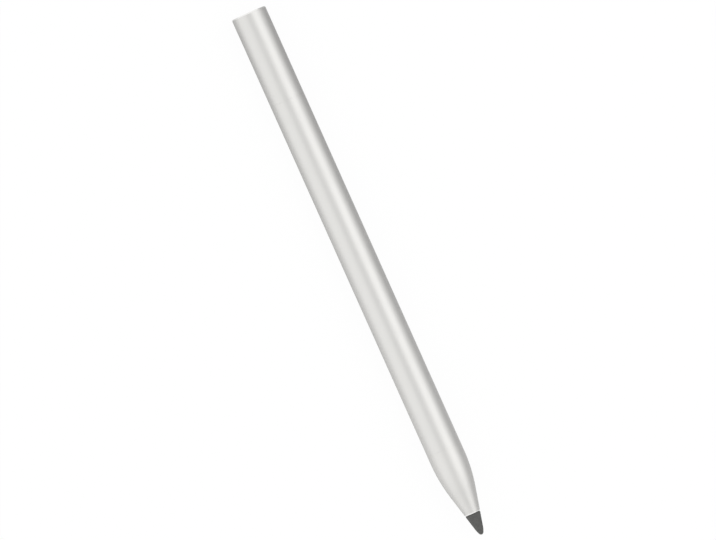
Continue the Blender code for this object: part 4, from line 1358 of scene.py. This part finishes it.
@dataclass
class BarrelAndKeys(SubAssembly):
    """The barrel with its two slots and its light hole, the keys, and the light pipe."""

    # A key is crowned like the barrel. Its crown has outlines that are inset by shares of half its width.
    key_length: float = 9.0 * MM
    key_width: float = 2.4 * MM
    key_gap: float = 0.1 * MM
    key_sink: float = 0.05 * MM
    key_edge: float = 0.12 * MM
    crown_insets: tuple[float, ...] = (0.96, 0.75, 0.5, 0.3)
    flange_corner: float = 0.4 * MM
    flange_thickness: float = 0.5 * MM
    plunger_radius: float = 0.7 * MM

    # A slot's cutter stands over the barrel's surface, and reaches under its bore.
    slot_chamfer: float = 0.06 * MM
    slot_over: float = 0.2 * MM
    slot_under: float = 1.0 * MM

    # The pipe ends in a dome like the barrel's surface, with points at shares of its radius.
    pipe_radius: float = 0.5 * MM
    pipe_fit: float = 0.05 * MM
    pipe_edge: float = 0.04 * MM
    pipe_dome: tuple[float, ...] = (0.0, 0.4, 0.8)
    pipe_flange_radius: float = 0.9 * MM
    pipe_flange_thickness: float = 0.4 * MM

    def build(self) -> None:
        """Builds the barrel, the keys and the light pipe."""
        self.build_barrel()
        self.build_key("front_key", Body.FRONT_KEY)
        self.build_key("rear_key", Body.REAR_KEY)
        self.build_pipe()

    def slot_cutter(self, node: str, long: float, wide: float) -> Piece:
        """Makes a cutter for a slot whose edge on the barrel is chamfered.

        Args:
            node: The solid that comes through the slot.
            long: Half the slot's length.
            wide: Half its width.

        Returns:
            The cutter.
        """
        flare = self.slot_chamfer + self.slot_over
        rings = [
            Ring(long + flare, wide + flare, wide + flare, PEN.radius + self.slot_over, True),
            Ring(long, wide, wide, PEN.radius - self.slot_chamfer, True),
            Ring(long, wide, wide, PEN.bore - self.slot_under, True),
        ]
        return Piece.stacked(f"{node}_slot", rings, PEN.middle(node), BRIGHT_EDGE)

    def build_barrel(self) -> None:
        """Builds the tube, and cuts the slots and the light hole."""
        start = PEN.span("barrel")[0]
        end = PEN.span("tail_sleeve")[0] - PEN.hairline
        corners = tube(PEN.radius, PEN.bore, start, end)
        long, wide = self.key_length / 2 + self.key_gap, self.key_width / 2 + self.key_gap
        hole = self.pipe_radius + self.pipe_fit
        rooms = (("front_key", long, wide), ("rear_key", long, wide), ("light_pipe", hole, hole))
        barrel = Piece.turned("barrel_form", corners, SATIN_SILVER, PEN.seam_edge)
        barrel.carve(*(self.slot_cutter(*room) for room in rooms)).settle("barrel")

    def build_key(self, node: str, body: Body) -> None:
        """Builds one key: its crowned top, its flange inside the barrel and its plunger.

        Args:
            node: The solid that it stands for.
            body: The body that it rides on.
        """
        low, high = PEN.extent(node)
        long, wide = self.key_length / 2, self.key_width / 2
        crown = PEN.radius - self.key_sink
        steps = [*((share * wide, 0.0) for share in self.crown_insets), *reversed(eased(self.key_edge))]
        flange = (*halves(low, high), self.flange_corner)
        flange_top = PEN.flush(PEN.inside, flange[1])
        flange_foot = flange_top - self.flange_thickness
        rings = [
            *(Ring(long - inset, wide - inset, wide - inset, crown - drop, True) for inset, drop in steps),
            Ring(long, wide, wide, flange_top),
            *prism(*flange, flange_top, flange_foot),
            *peg(self.plunger_radius, flange_foot, low.x),
        ]
        Piece.stacked(f"{node}_form", rings, PEN.middle(node), SATIN_SILVER).settle(node, body=body)

    def build_pipe(self) -> None:
        """Builds the clear pin between the light and the barrel's surface."""
        foot = PEN.extent("light_pipe")[0].x
        flange = PEN.flush(PEN.inside, self.pipe_flange_radius)
        under = flange - self.pipe_flange_thickness
        radius = self.pipe_radius
        dome = [radius * share for share in self.pipe_dome]
        corners = [
            *((aside, PEN.flush(PEN.radius, aside), 0.0) for aside in dome),
            (radius, PEN.flush(PEN.radius, radius)),
            (radius, flange),
            (self.pipe_flange_radius, flange),
            (self.pipe_flange_radius, under),
            (radius, under),
            (radius, foot),
            (0.0, foot),
        ]
        stand = standing(PEN.middle("light_pipe"), "Y")
        pipe = Piece.turned(
            "light_pipe_form", corners, CLEAR_PLASTIC, self.pipe_edge, SMALL_STEPS, stand=stand
        )
        pipe.settle("light_pipe")


@dataclass
class MainBoard(SubAssembly):
    """The board with its chips, switches, light, small parts and screws, on its moulded tray."""

    chips: tuple[tuple[str, Finish], ...] = (
        ("controller_chip", CHIP_BLACK),
        ("radio_chip", CHIP_BLACK),
        ("charger_chip", CHIP_BLACK),
        ("antenna", CERAMIC),
        ("status_led", WHITE_PLASTIC),
    )
    chip_edge: float = 0.06 * MM
    board_corner: float = 0.35 * MM
    switches: tuple[str, ...] = ("front_switch", "rear_switch")

    screws: tuple[str, ...] = ("front_screw", "rear_screw")
    head_radius: float = 1.05 * MM
    head_height: float = 0.5 * MM
    head_edge: float = 0.2 * MM
    seat_edge: float = 0.1 * MM
    shank_radius: float = 0.55 * MM
    shank_end: float = 0.15 * MM
    socket_radius: float = 0.5 * MM
    socket_depth: float = 0.3 * MM
    socket_sides: int = 6
    hole_radius: float = 0.6 * MM

    # Small parts stand in rows along the board's edges. Draws leave a share of their places bare.
    part_long: float = 0.6 * MM
    part_wide: float = 0.32 * MM
    part_height: float = 0.3 * MM
    part_edge: float = 0.04 * MM
    part_pitch: float = 1.1 * MM
    part_inset: float = 0.45 * MM
    part_share: float = 0.75
    seed: int = 11

    # The tray has a boss in the sensor's cup, a bay for the board with ledges round a pocket and pads round
    # the screws, and a cradle for the cell.
    tray_edge: float = 0.15 * MM
    boss_radius: float = 2.5 * MM
    end_play: float = 0.2 * MM
    cut_over: float = 0.5 * MM
    cut_corner: float = 0.175 * MM
    pocket_margin: float = 0.6 * MM
    pocket_depth: float = 2.4 * MM
    screw_pad: float = 3.4 * MM
    cradle_depth: float = 1.2 * MM
    cradle_radius: float = 3.45 * MM

    def build(self) -> None:
        """Builds the tray, the board and what is on it."""
        self.build_tray()
        board = board_form("main_board", self.board_corner)
        board.carve(*self.screw_holes(GOLD)).settle("main_board")
        for node, finish in self.chips:
            rings = soft_box(*PEN.extent(node), self.chip_edge, self.chip_edge)
            Piece.stacked(f"{node}_form", rings, PEN.middle(node), finish).settle(node)
        for node in self.switches:
            ClickSwitch().build(node, *PEN.extent(node))
        for node in self.screws:
            self.build_screw(node)
        self.build_small_parts()

    def screw_holes(self, finish: Finish) -> list[Piece]:
        """Makes cutters for the screws' holes.

        Args:
            finish: The finish that they leave.

        Returns:
            A cutter for each screw.
        """
        cutters = []
        for node in self.screws:
            low, high = PEN.extent(node)
            rings = peg(self.hole_radius, low.x - 2 * PEN.seat, high.x)
            cutters.append(Piece.stacked(f"{node}_hole", rings, PEN.middle(node), finish))
        return cutters

    def build_tray(self) -> None:
        """Builds the moulded tray that holds the board and the cell."""
        start, end = PEN.span("chassis")
        shoulder = PEN.span("nose_cone")[1] + PEN.seat
        corners = [
            (0.0, end),
            (PEN.inside, end),
            (PEN.inside, shoulder),
            (self.boss_radius, shoulder),
            (self.boss_radius, start),
            (0.0, start),
        ]
        tray = Piece.turned("chassis_form", corners, BLACK_PLASTIC, self.tray_edge)
        tray.carve(*self.tray_cutters(end), *self.screw_holes(BLACK_PLASTIC)).settle("chassis")

    def tray_cutters(self, end: float) -> list[Piece]:
        """Makes what is cut from the tray.

        Args:
            end: Place of the tray's end along the pen.

        Returns:
            Cutters for the board's bay, the pocket under it, the leads, and the cell's cradle.
        """
        low, high = PEN.extent("main_board")
        lead_low, lead_high = PEN.extent("battery_lead_red")
        ledge = low.x - PEN.seat
        reach, over = PEN.radius, self.cut_over
        cell = PEN.span("battery_board")[0] - self.end_play
        wall = high.z + self.end_play
        pocket = (low.z + self.screw_pad, PEN.middle("rear_screw") - self.screw_pad / 2)
        leads = max(abs(lead_low.y), abs(lead_high.y)) + (lead_high.y - lead_low.y) / 2
        rooms = (
            ("board_bay_cut", ledge, reach, reach, low.z - self.end_play, wall),
            ("board_pocket_cut", -self.pocket_depth, ledge + over, high.y - self.pocket_margin, *pocket),
            ("lead_notch_cut", high.x, reach, leads, wall - over, cell + over),
            ("cradle_mouth_cut", -self.cradle_depth, reach, reach, cell, end + over),
        )
        cutters = []
        for name, foot, top, wide, first, last in rooms:
            rings = prism((last - first) / 2, wide, self.cut_corner, foot, top)
            cutters.append(Piece.stacked(name, rings, (first + last) / 2, BLACK_PLASTIC))
        bore = bar(self.cradle_radius, cell, end + over)
        return [*cutters, Piece.turned("cradle_bore_cut", bore, BLACK_PLASTIC)]

    def build_screw(self, node: str) -> None:
        """Builds a screw with a six-sided socket in its head.

        Args:
            node: The solid that it stands for.
        """
        low, high = PEN.extent(node)
        seat = high.x - self.head_height
        corners = [
            (0.0, high.x),
            (self.head_radius, high.x, self.head_edge),
            (self.head_radius, seat),
            (self.shank_radius, seat),
            (self.shank_radius, low.x, self.shank_end),
            (0.0, low.x),
        ]
        stand = standing(PEN.middle(node), "Y")
        hexagon = bar(self.socket_radius, high.x - self.socket_depth, high.x + self.socket_depth)
        socket = Piece.turned(f"{node}_socket", hexagon, STEEL, steps=self.socket_sides, stand=stand)
        screw = Piece.turned(f"{node}_form", corners, STEEL, self.seat_edge, SMALL_STEPS, stand=stand)
        screw.carve(socket).settle(node)

    def build_small_parts(self) -> None:
        """Sets rows of small parts along both edges of the board, clear of the antenna."""
        low, high = PEN.extent("main_board")
        start = PEN.extent("front_screw")[1].z + self.part_long
        end = PEN.extent("rear_screw")[0].z - self.part_long
        antenna_low, antenna_high = PEN.extent("antenna")
        draw = random.Random(self.seed)
        spots = []
        for side in (low.y + self.part_inset, high.y - self.part_inset):
            for i in range(round((end - start) / self.part_pitch)):
                spot = Vector((high.x, side, start + (i + 0.5) * self.part_pitch))
                clear = not antenna_low.z - self.part_long < spot.z < antenna_high.z + self.part_long
                if draw.random() < self.part_share and clear:
                    spots.append(spot)
        half = Vector((0.0, self.part_wide / 2, self.part_long / 2))
        top = Vector((self.part_height, 0.0, 0.0)) + half
        rings = soft_box(-half, top, self.part_edge, self.part_edge)
        shape = Piece.stacked("small_part", rings, 0.0, CERAMIC)
        Piece.repeated("board_small_parts", shape, spots).settle()


@dataclass
class PowerPack(SubAssembly):
    """The cell with its board and leads, and the flat cable that runs over it."""

    cell_radius: float = 3.4 * MM
    cell_edge: float = 0.4 * MM
    crimp_depth: float = 0.12 * MM
    crimp_place: float = 1.4 * MM
    lead_radius: float = 0.25 * MM
    lead_steps: int = 48

    def build(self) -> None:
        """Builds the cell and its leads, and dresses the cable."""
        start, end = PEN.span("battery")
        radius, depth = self.cell_radius, self.crimp_depth
        crimp = start + self.crimp_place
        corners = [
            (0.0, end),
            (radius, end, self.cell_edge),
            (radius, crimp + 2 * depth),
            (radius - depth, crimp),
            (radius, crimp - 2 * depth),
            (radius, start, self.cell_edge),
            (0.0, start),
        ]
        cell = Piece.turned("battery_form", corners, CELL_WRAP, depth, SMALL_STEPS)
        cell.polish(STEEL, start - self.cell_edge, start + self.cell_edge).settle("battery")
        build_disc("battery_board", radius, SOLDER_MASK)
        for node, finish in (("battery_lead_red", LEAD_RED), ("battery_lead_black", LEAD_BLACK)):
            low, high = PEN.extent(node)
            stand = Matrix.Translation(((low.x + high.x) / 2, (low.y + high.y) / 2, 0.0))
            corners = bar(self.lead_radius, low.z, high.z)
            lead = Piece.turned(
                f"{node}_form", corners, finish, self.lead_radius / 2, self.lead_steps, stand=stand
            )
            lead.settle(node)
        keep_solid("flex_cable", FLEX_AMBER)


@dataclass
class ChargingNeck(SubAssembly):
    """The neck that the tail slides on, with the charging port across it."""

    neck_end: float = 0.25 * MM
    ring_radius: float = 3.72 * MM
    ring_section: float = 0.5 * MM
    ring_steps: int = 24
    groove_radius: float = 3.44 * MM
    groove_edge: float = 0.05 * MM
    pin_radius: float = 0.45 * MM
    pin_edge: float = 0.12 * MM
    pin_fit: float = 0.05 * MM

    # Half the port's length along the pen and half its width, the margin of the flat round it, and the room
    # that is cut for its board and for the cable
    port_long: float = 4.47 * MM
    port_wide: float = 1.63 * MM
    port_rim: float = 0.3 * MM
    port_board_corner: float = 0.3 * MM
    flat_corner: float = 0.2 * MM
    channel_corner: float = 0.05 * MM
    cable_slip: float = 0.1 * MM
    cut_over: float = 0.5 * MM

    shell_wall: float = 0.3 * MM
    shell_edge: float = 0.12 * MM
    insert_base: float = 1.0 * MM
    tongue_long: float = 3.345 * MM
    tongue_wide: float = 0.35 * MM
    tongue_corner: float = 0.1 * MM
    tongue_edge: float = 0.12 * MM

    contact_count: int = 12
    contact_pitch: float = 0.5 * MM
    contact_wide: float = 0.25 * MM
    contact_rise: float = 0.02 * MM
    contact_edge: float = 0.01 * MM
    contact_root: float = 0.2 * MM
    contact_set_back: float = 0.5 * MM

    def build(self) -> None:
        """Builds the neck, its rings and pin, and the port."""
        self.build_neck()
        self.build_rings()
        self.build_pin()
        self.build_shell()
        self.build_insert()
        self.build_contacts()
        board_form("port_board", self.port_board_corner).settle("port_board")

    def build_neck(self) -> None:
        """Builds the neck with its grooves, and cuts the port, the channels and the pin's hole."""
        start, end = PEN.span("neck")
        half = self.ring_section / 2 + PEN.seat
        corners = [(0.0, end), (PEN.inside, end, self.neck_end)]
        for node in ("friction_ring", "neck_seal"):
            behind, ahead = PEN.middle(node) + half, PEN.middle(node) - half
            corners += [
                (PEN.inside, behind),
                (self.groove_radius, behind),
                (self.groove_radius, ahead),
                (PEN.inside, ahead),
            ]
        corners += [(PEN.inside, start, self.neck_end), (0.0, start)]
        neck = Piece.turned("neck_form", corners, BLACK_PLASTIC, self.groove_edge)
        neck.carve(*self.neck_cutters()).settle("neck")

    def neck_cutters(self) -> list[Piece]:
        """Makes what is cut from the neck.

        Returns:
            Cutters for the flat round the port, the port, the board, the cable and the pin.
        """
        start, end = PEN.span("neck")
        _, shell_high = PEN.extent("port_shell")
        board_low, board_high = PEN.extent("port_board")
        flex_low, _ = PEN.extent("flex_cable")
        _, pin_high = PEN.extent("stop_pin")
        seat, slip, reach, corner = PEN.seat, self.cable_slip, PEN.radius, self.channel_corner
        port, board_wide = PEN.middle("port_shell"), board_high.y + seat
        slot_wide = self.port_wide + seat
        cable_end = PEN.span("flex_cable")[1] + slip
        cable_long = (cable_end - start + self.cut_over) / 2
        channel_long = (end - start) / 2 + self.cut_over
        flat = prism(self.port_long + self.port_rim, reach, self.flat_corner, shell_high.x, reach)
        slot = prism(self.port_long + seat, slot_wide, slot_wide, board_low.x + 2 * seat, reach)
        channel = prism(channel_long, board_wide, corner, board_low.x - seat, board_high.x + seat)
        entry = prism(cable_long, board_wide + slip, corner, board_high.x, flex_low.x + 2 * slip + seat)
        rooms = (
            ("port_flat_cut", flat, port),
            ("port_slot_cut", slot, port),
            ("board_channel_cut", channel, (start + end) / 2),
            ("cable_entry_cut", entry, cable_end - cable_long),
        )
        cutters = [Piece.stacked(*room, BLACK_PLASTIC) for room in rooms]
        hole = bar(self.pin_radius + self.pin_fit, -reach, pin_high.y + seat)
        stand = standing(PEN.middle("stop_pin"), "X", -QUARTER)
        return [*cutters, Piece.turned("pin_hole_cut", hole, BLACK_PLASTIC, steps=SMALL_STEPS, stand=stand)]

    def build_rings(self) -> None:
        """Builds the seal and the ring that gives the tail its drag."""
        for node in ("neck_seal", "friction_ring"):
            centre = (self.ring_radius, PEN.middle(node))
            section = arc(centre, self.ring_section / 2, 0.0, math.tau, self.ring_steps)[:-1]
            Piece.turned(f"{node}_form", section, SILICONE).settle(node)

    def build_pin(self) -> None:
        """Builds the pin that stops the tail."""
        low, high = PEN.extent("stop_pin")
        corners = bar(self.pin_radius, low.y, high.y)
        stand = standing(PEN.middle("stop_pin"), "X", -QUARTER)
        pin = Piece.turned("stop_pin_form", corners, STEEL, self.pin_edge, SMALL_STEPS, stand=stand)
        pin.settle("stop_pin")

    def build_shell(self) -> None:
        """Builds the port's drawn shell with a rounded mouth."""
        low, high = PEN.extent("port_shell")
        mouth = eased(self.shell_edge)
        inner = [(self.shell_wall - inset, high.x - drop) for inset, drop in reversed(mouth)]
        steps = [
            (0.0, low.x),
            *((inset, high.x - drop) for inset, drop in mouth),
            *inner,
            (self.shell_wall, low.x),
        ]
        long, wide = self.port_long, self.port_wide
        rings = [Ring(long - inset, wide - inset, wide - inset, out) for inset, out in steps]
        shell = Piece.stacked("port_shell_form", rings, PEN.middle("port_shell"), STEEL, hollow=True)
        shell.settle("port_shell")

    def build_insert(self) -> None:
        """Builds the moulded base and the tongue on it."""
        low, high = PEN.extent("port_insert")
        inset = self.shell_wall + PEN.seat
        long, wide = self.port_long - inset, self.port_wide - inset
        tongue_long, tongue_wide, corner = self.tongue_long, self.tongue_wide, self.tongue_corner
        floor, edge = low.x + self.insert_base, self.tongue_edge
        rings = [
            *prism(long, wide, wide, low.x, floor),
            *prism(tongue_long, tongue_wide, corner, floor, high.x - 2 * edge),
            Ring(tongue_long - edge, tongue_wide - edge, corner, high.x),
        ]
        insert = Piece.stacked("port_insert_form", rings, PEN.middle("port_shell"), BLACK_PLASTIC)
        insert.settle("port_insert")

    def build_contacts(self) -> None:
        """Sets a row of plated contacts on each face of the tongue."""
        low, high = PEN.extent("port_insert")
        foot, top = low.x + self.insert_base + self.contact_root, high.x - self.contact_set_back
        half = Vector((0.0, self.contact_rise, self.contact_wide / 2))
        rings = soft_box(-half, Vector((top - foot, 0.0, 0.0)) + half, self.contact_edge, self.contact_edge)
        shape = Piece.stacked("contact", rings, 0.0, GOLD)
        first = PEN.middle("port_shell") - (self.contact_count - 1) / 2 * self.contact_pitch
        spots = [
            Vector((foot, side * self.tongue_wide, first + i * self.contact_pitch))
            for side in (-1, 1)
            for i in range(self.contact_count)
        ]
        Piece.repeated("port_contacts", shape, spots).settle()


@dataclass
class TailEnd(SubAssembly):
    """The sliding tail, its button, spring and clip, and the switch that the button presses."""

    chamfer: float = 0.3 * MM
    chamfer_lean: float = math.radians(28)
    chamfer_edge: float = 0.03 * MM
    recess_radius: float = 3.7 * MM
    stem_hole: float = 1.1 * MM
    sleeve_edge: float = 0.06 * MM
    groove_gap: float = 0.1 * MM
    groove_under: float = 0.6 * MM

    button_radius: float = 3.58 * MM
    button_rim: float = 0.14 * MM
    button_edge: float = 0.04 * MM
    dish_radius: float = 3.0 * MM
    dish_depth: float = 0.10 * MM
    dish_steps: int = 8
    stem_radius: float = 1.0 * MM
    stem_end: float = 0.15 * MM

    clip_radius: float = 1.8 * MM
    clip_edge: float = 0.05 * MM
    clip_groove: float = 0.25 * MM
    clip_gap: float = 0.7 * MM
    board_radius: float = 3.0 * MM
    spring: Spring = Spring("tail_spring", radius=2.4 * MM, wire=0.2 * MM, turns=2.5, flat=0.3)

    def build(self) -> None:
        """Builds the sleeve, the button and what is between them."""
        wall_start = PEN.span("retaining_clip")[1] + 2 * PEN.seat
        wall_end = PEN.span("tail_spring")[0] - PEN.seat
        self.build_sleeve(wall_start, wall_end)
        self.build_button()
        self.build_clip()
        self.spring.build(Body.SLEEVE, "tail_button_press", wall_end)
        build_disc("tail_board", self.board_radius, SOLDER_MASK)
        low, high = PEN.extent("tail_switch")
        room = (Vector((low.z, low.y, -high.x)), Vector((high.z, high.y, -low.x)))
        ClickSwitch().build("tail_switch", *room, standing(0.0, "Y", -QUARTER))

    def build_sleeve(self, wall_start: float, wall_end: float) -> None:
        """Builds the sleeve, and cuts the groove that the stop pin runs in.

        Args:
            wall_start: Where the wall inside it starts, along the pen.
            wall_end: Where that wall ends.
        """
        start, end = PEN.span("tail_sleeve")
        corners = [
            (PEN.radius - self.chamfer * math.tan(self.chamfer_lean), end, self.chamfer_edge),
            (PEN.radius, end - self.chamfer, self.chamfer_edge),
            (PEN.radius, start, PEN.seam_edge),
            (PEN.bore, start, PEN.seam_edge),
            (PEN.bore, wall_start),
            (self.stem_hole, wall_start),
            (self.stem_hole, wall_end),
            (self.recess_radius, wall_end),
            (self.recess_radius, end),
        ]
        sleeve = Piece.turned("tail_sleeve_form", corners, SATIN_SILVER, self.sleeve_edge)
        sleeve.polish(BRIGHT_EDGE, end - self.chamfer, end + self.chamfer)
        low, high = PEN.extent("stop_pin")
        slide, gap = travel("tail_slide"), self.groove_gap
        wide = (high.z - low.z) / 2 + gap
        groove = prism(wide + slide / 2, wide, wide, gap - low.y, PEN.bore - self.groove_under)
        middle, stand = (high.z + low.z - slide) / 2, standing(0.0, "Z", -QUARTER)
        cutter = Piece.stacked("stop_groove", groove, middle, SATIN_SILVER, stand=stand)
        sleeve.carve(cutter).settle("tail_sleeve", body=Body.SLEEVE)

    def build_button(self) -> None:
        """Builds the button with a shallow dish in its face and a groove in its stem."""
        start, end = PEN.span("tail_button")
        under = PEN.span("tail_spring")[1] + PEN.seat
        clip_start, clip_end = PEN.span("retaining_clip")
        behind, ahead = clip_end + PEN.seat, clip_start - PEN.seat
        groove = self.stem_radius - self.clip_groove
        shares = [i / self.dish_steps for i in range(self.dish_steps + 1)]
        corners = [
            *((s * self.dish_radius, end - self.dish_depth * (1 - s**2), 0.0) for s in shares),
            (self.button_radius, end, self.button_rim),
            (self.button_radius, under),
            (self.stem_radius, under),
            (self.stem_radius, behind),
            (groove, behind),
            (groove, ahead),
            (self.stem_radius, ahead),
            (self.stem_radius, start, self.stem_end),
            (0.0, start),
        ]
        button = Piece.turned("tail_button_form", corners, SPUN_SILVER, self.button_edge)
        button.settle("tail_button", body=Body.BUTTON)

    def build_clip(self) -> None:
        """Builds the clip that keeps the button in, open on one side."""
        start, end = PEN.span("retaining_clip")
        outer, inner = self.clip_radius, self.stem_radius - self.clip_groove + PEN.seat
        opening = prism(end - start, self.clip_gap / 2, self.clip_edge, 0.0, 2 * outer)
        cutter = Piece.stacked("clip_opening", opening, (start + end) / 2, STEEL)
        corners = tube(outer, inner, start, end)
        clip = Piece.turned("retaining_clip_form", corners, STEEL, self.clip_edge, SMALL_STEPS)
        clip.carve(cutter).settle("retaining_clip", body=Body.BUTTON)


@dataclass(frozen=True)
class Softbox:
    """A soft lamp that lies along the pen, ahead of its middle and tilted from straight up towards +Y.

    Its level is how bright its face is, where white is 1.
    """

    name: str
    tilt: float
    wide: float
    level: float
    long: float = 0.68
    distance: float = 0.55
    ahead: float = 0.04

    def build(self) -> None:
        """Adds the lamp to the scene, aimed at the pen."""
        data = bpy.data.lights.new(self.name, "AREA")
        data.shape = "RECTANGLE"
        data.size = self.long
        data.size_y = self.wide
        data.energy = self.level * math.pi * self.long * self.wide
        lamp = add_object(self.name, data)
        reach = Vector((0.0, math.sin(self.tilt), math.cos(self.tilt))) * self.distance
        lamp.location = reach + Vector((self.ahead, 0.0, PEN.height))
        lamp.rotation_euler = (-self.tilt, 0.0, 0.0)
        lamp.visible_camera = False


@dataclass
class Studio:
    """The pale floor, the soft light, and the camera over the pen."""

    # The picture's size and the place of the pen's middle on it in pixels, the pixels for a metre of the pen,
    # and the turn of the picture against the pen
    image_wide: int = 716
    image_high: int = 540
    middle_right: float = 365.19
    middle_down: float = 273.79
    scale: float = 3961.0
    lean: float = math.radians(65.86)
    lens: float = 0.5
    sensor: float = 0.036

    # The floor carries painted shade. Its colour is dark on the right of the pen and pale on its left, with a
    # gradient that is turned towards the nib, and the pen mirrors the dark side as shade along its right
    # edge. The camera sees its own colour. A share of what is seen or mirrored of it is plain white, which
    # keeps the pen's shadow faint.
    floor_half: float = 4.0
    floor_painted_shade: Colour = (0.50, 0.50, 0.50)
    floor_pale: Colour = (0.93, 0.93, 0.93)
    floor_blend: float = 0.055
    floor_turn: float = math.radians(12)
    floor_seen: Colour = (0.97, 0.97, 0.97)
    floor_white: float = 0.95
    floor_mirrored: float = 0.05
    floor_roughness: float = 0.9
    floor_gloss: float = 0.1

    # The light from all round, where white is 1
    ambient: float = 0.88
    softboxes: tuple[Softbox, ...] = (
        Softbox("left_softbox", tilt=math.radians(-55), wide=0.76, level=0.35),
        Softbox("right_softbox", tilt=math.radians(40.5), wide=0.49, level=0.65),
    )

    def build(self) -> None:
        """Builds the floor, the light and the camera."""
        self.build_floor()
        self.build_world()
        for softbox in self.softboxes:
            softbox.build()
        self.build_camera()
        bpy.context.scene.view_settings.view_transform = "Standard"

    def seen(self, kit: NodeKit, direct: float, mirrored: float) -> Socket:
        """Tells how far a ray sees the background as plain white.

        Args:
            kit: The nodes that ask.
            direct: What the camera's rays get.
            mirrored: What rays off or through the pen get.

        Returns:
            One of the two, or 0 for a ray that only lights the pen.
        """
        path = kit.add("ShaderNodeLightPath").outputs
        found = kit.math("MULTIPLY", path["Is Camera Ray"], direct)
        for label in ("Is Glossy Ray", "Is Transmission Ray"):
            found = kit.math("MULTIPLY_ADD", path[label], mirrored, found)
        return found

    def build_floor(self) -> None:
        """Builds the pale floor under the pen, which keeps a faint shadow and carries painted shade on the
        pen's right.
        """
        half = self.floor_half
        mesh = bpy.data.meshes.new("floor")
        corners = [(-half, -half, 0), (half, -half, 0), (half, half, 0), (-half, half, 0)]
        mesh.from_pydata(corners, [], [(0, 1, 2, 3)])
        kit = ShaderKit("pale_floor")
        # Painted shade: for light and mirrored rays the floor's colour runs from pale on the pen's left to
        # dark on its right, so the pen's right edge mirrors it darker
        _, across, _ = kit.parts(kit.turned((0.0, 0.0, -self.floor_turn)))
        share = kit.spread(across, (-self.floor_blend / 2, self.floor_blend / 2), (1.0, 0.0))
        floor_with_painted_shade = kit.shade(share, self.floor_painted_shade, self.floor_pale)
        straight = kit.add("ShaderNodeLightPath").outputs["Is Camera Ray"]
        kit.set(Base_Color=kit.shade(straight, floor_with_painted_shade, self.floor_seen))
        kit.set(Roughness=self.floor_roughness, Specular_IOR_Level=self.floor_gloss)
        white = kit.add("ShaderNodeEmission").outputs["Emission"]
        share = self.seen(kit, self.floor_white, self.floor_mirrored)
        mixed = kit.add("ShaderNodeMixShader", {"Fac": share, 1: kit.shader.outputs["BSDF"], 2: white})
        kit.feed(kit.tree.nodes["Material Output"], {"Surface": mixed.outputs["Shader"]})
        mesh.materials.append(kit.material)
        add_object("floor", mesh)

    def build_world(self) -> None:
        """Builds the light from all round, which shows as white."""
        world = bpy.data.worlds.new("studio")
        bpy.context.scene.world = world
        world.use_nodes = True
        kit = NodeKit(world.node_tree)
        feeds = {"Value": self.seen(kit, 1.0, 1.0), "To Min": self.ambient, "To Max": 1.0}
        level = kit.add("ShaderNodeMapRange", feeds).outputs["Result"]
        kit.feed(kit.tree.nodes["Background"], {"Color": (1.0, 1.0, 1.0, 1.0), "Strength": level})

    def build_camera(self) -> None:
        """Builds the camera, which looks straight down on the pen from afar."""
        data = bpy.data.cameras.new("camera")
        data.lens = self.lens / MM
        data.sensor_width = self.sensor / MM
        camera = add_object("camera", data)
        distance = self.image_wide * self.lens / self.sensor / self.scale
        right = Vector((math.cos(self.lean), math.sin(self.lean), 0.0))
        up = Vector((-math.sin(self.lean), math.cos(self.lean), 0.0))
        aside = (self.middle_right - self.image_wide / 2) / self.scale
        below = (self.middle_down - self.image_high / 2) / self.scale
        centre = Vector((sum(corner.x for corner in CAD_BOX) / 2, 0.0, PEN.height + distance))
        camera.location = centre - right * aside + up * below
        camera.rotation_euler = (0.0, 0.0, self.lean)
        bpy.context.scene.camera = camera


def main() -> None:
    """Builds the pen's sub-assemblies and the studio."""
    logging.basicConfig(level=logging.INFO, format="%(message)s")
    for kind in (NibEnd, ForceSensor, BarrelAndKeys, MainBoard, PowerPack, ChargingNeck, TailEnd):
        kind().build()
    Studio().build()


if __name__ == "__main__":
    main()
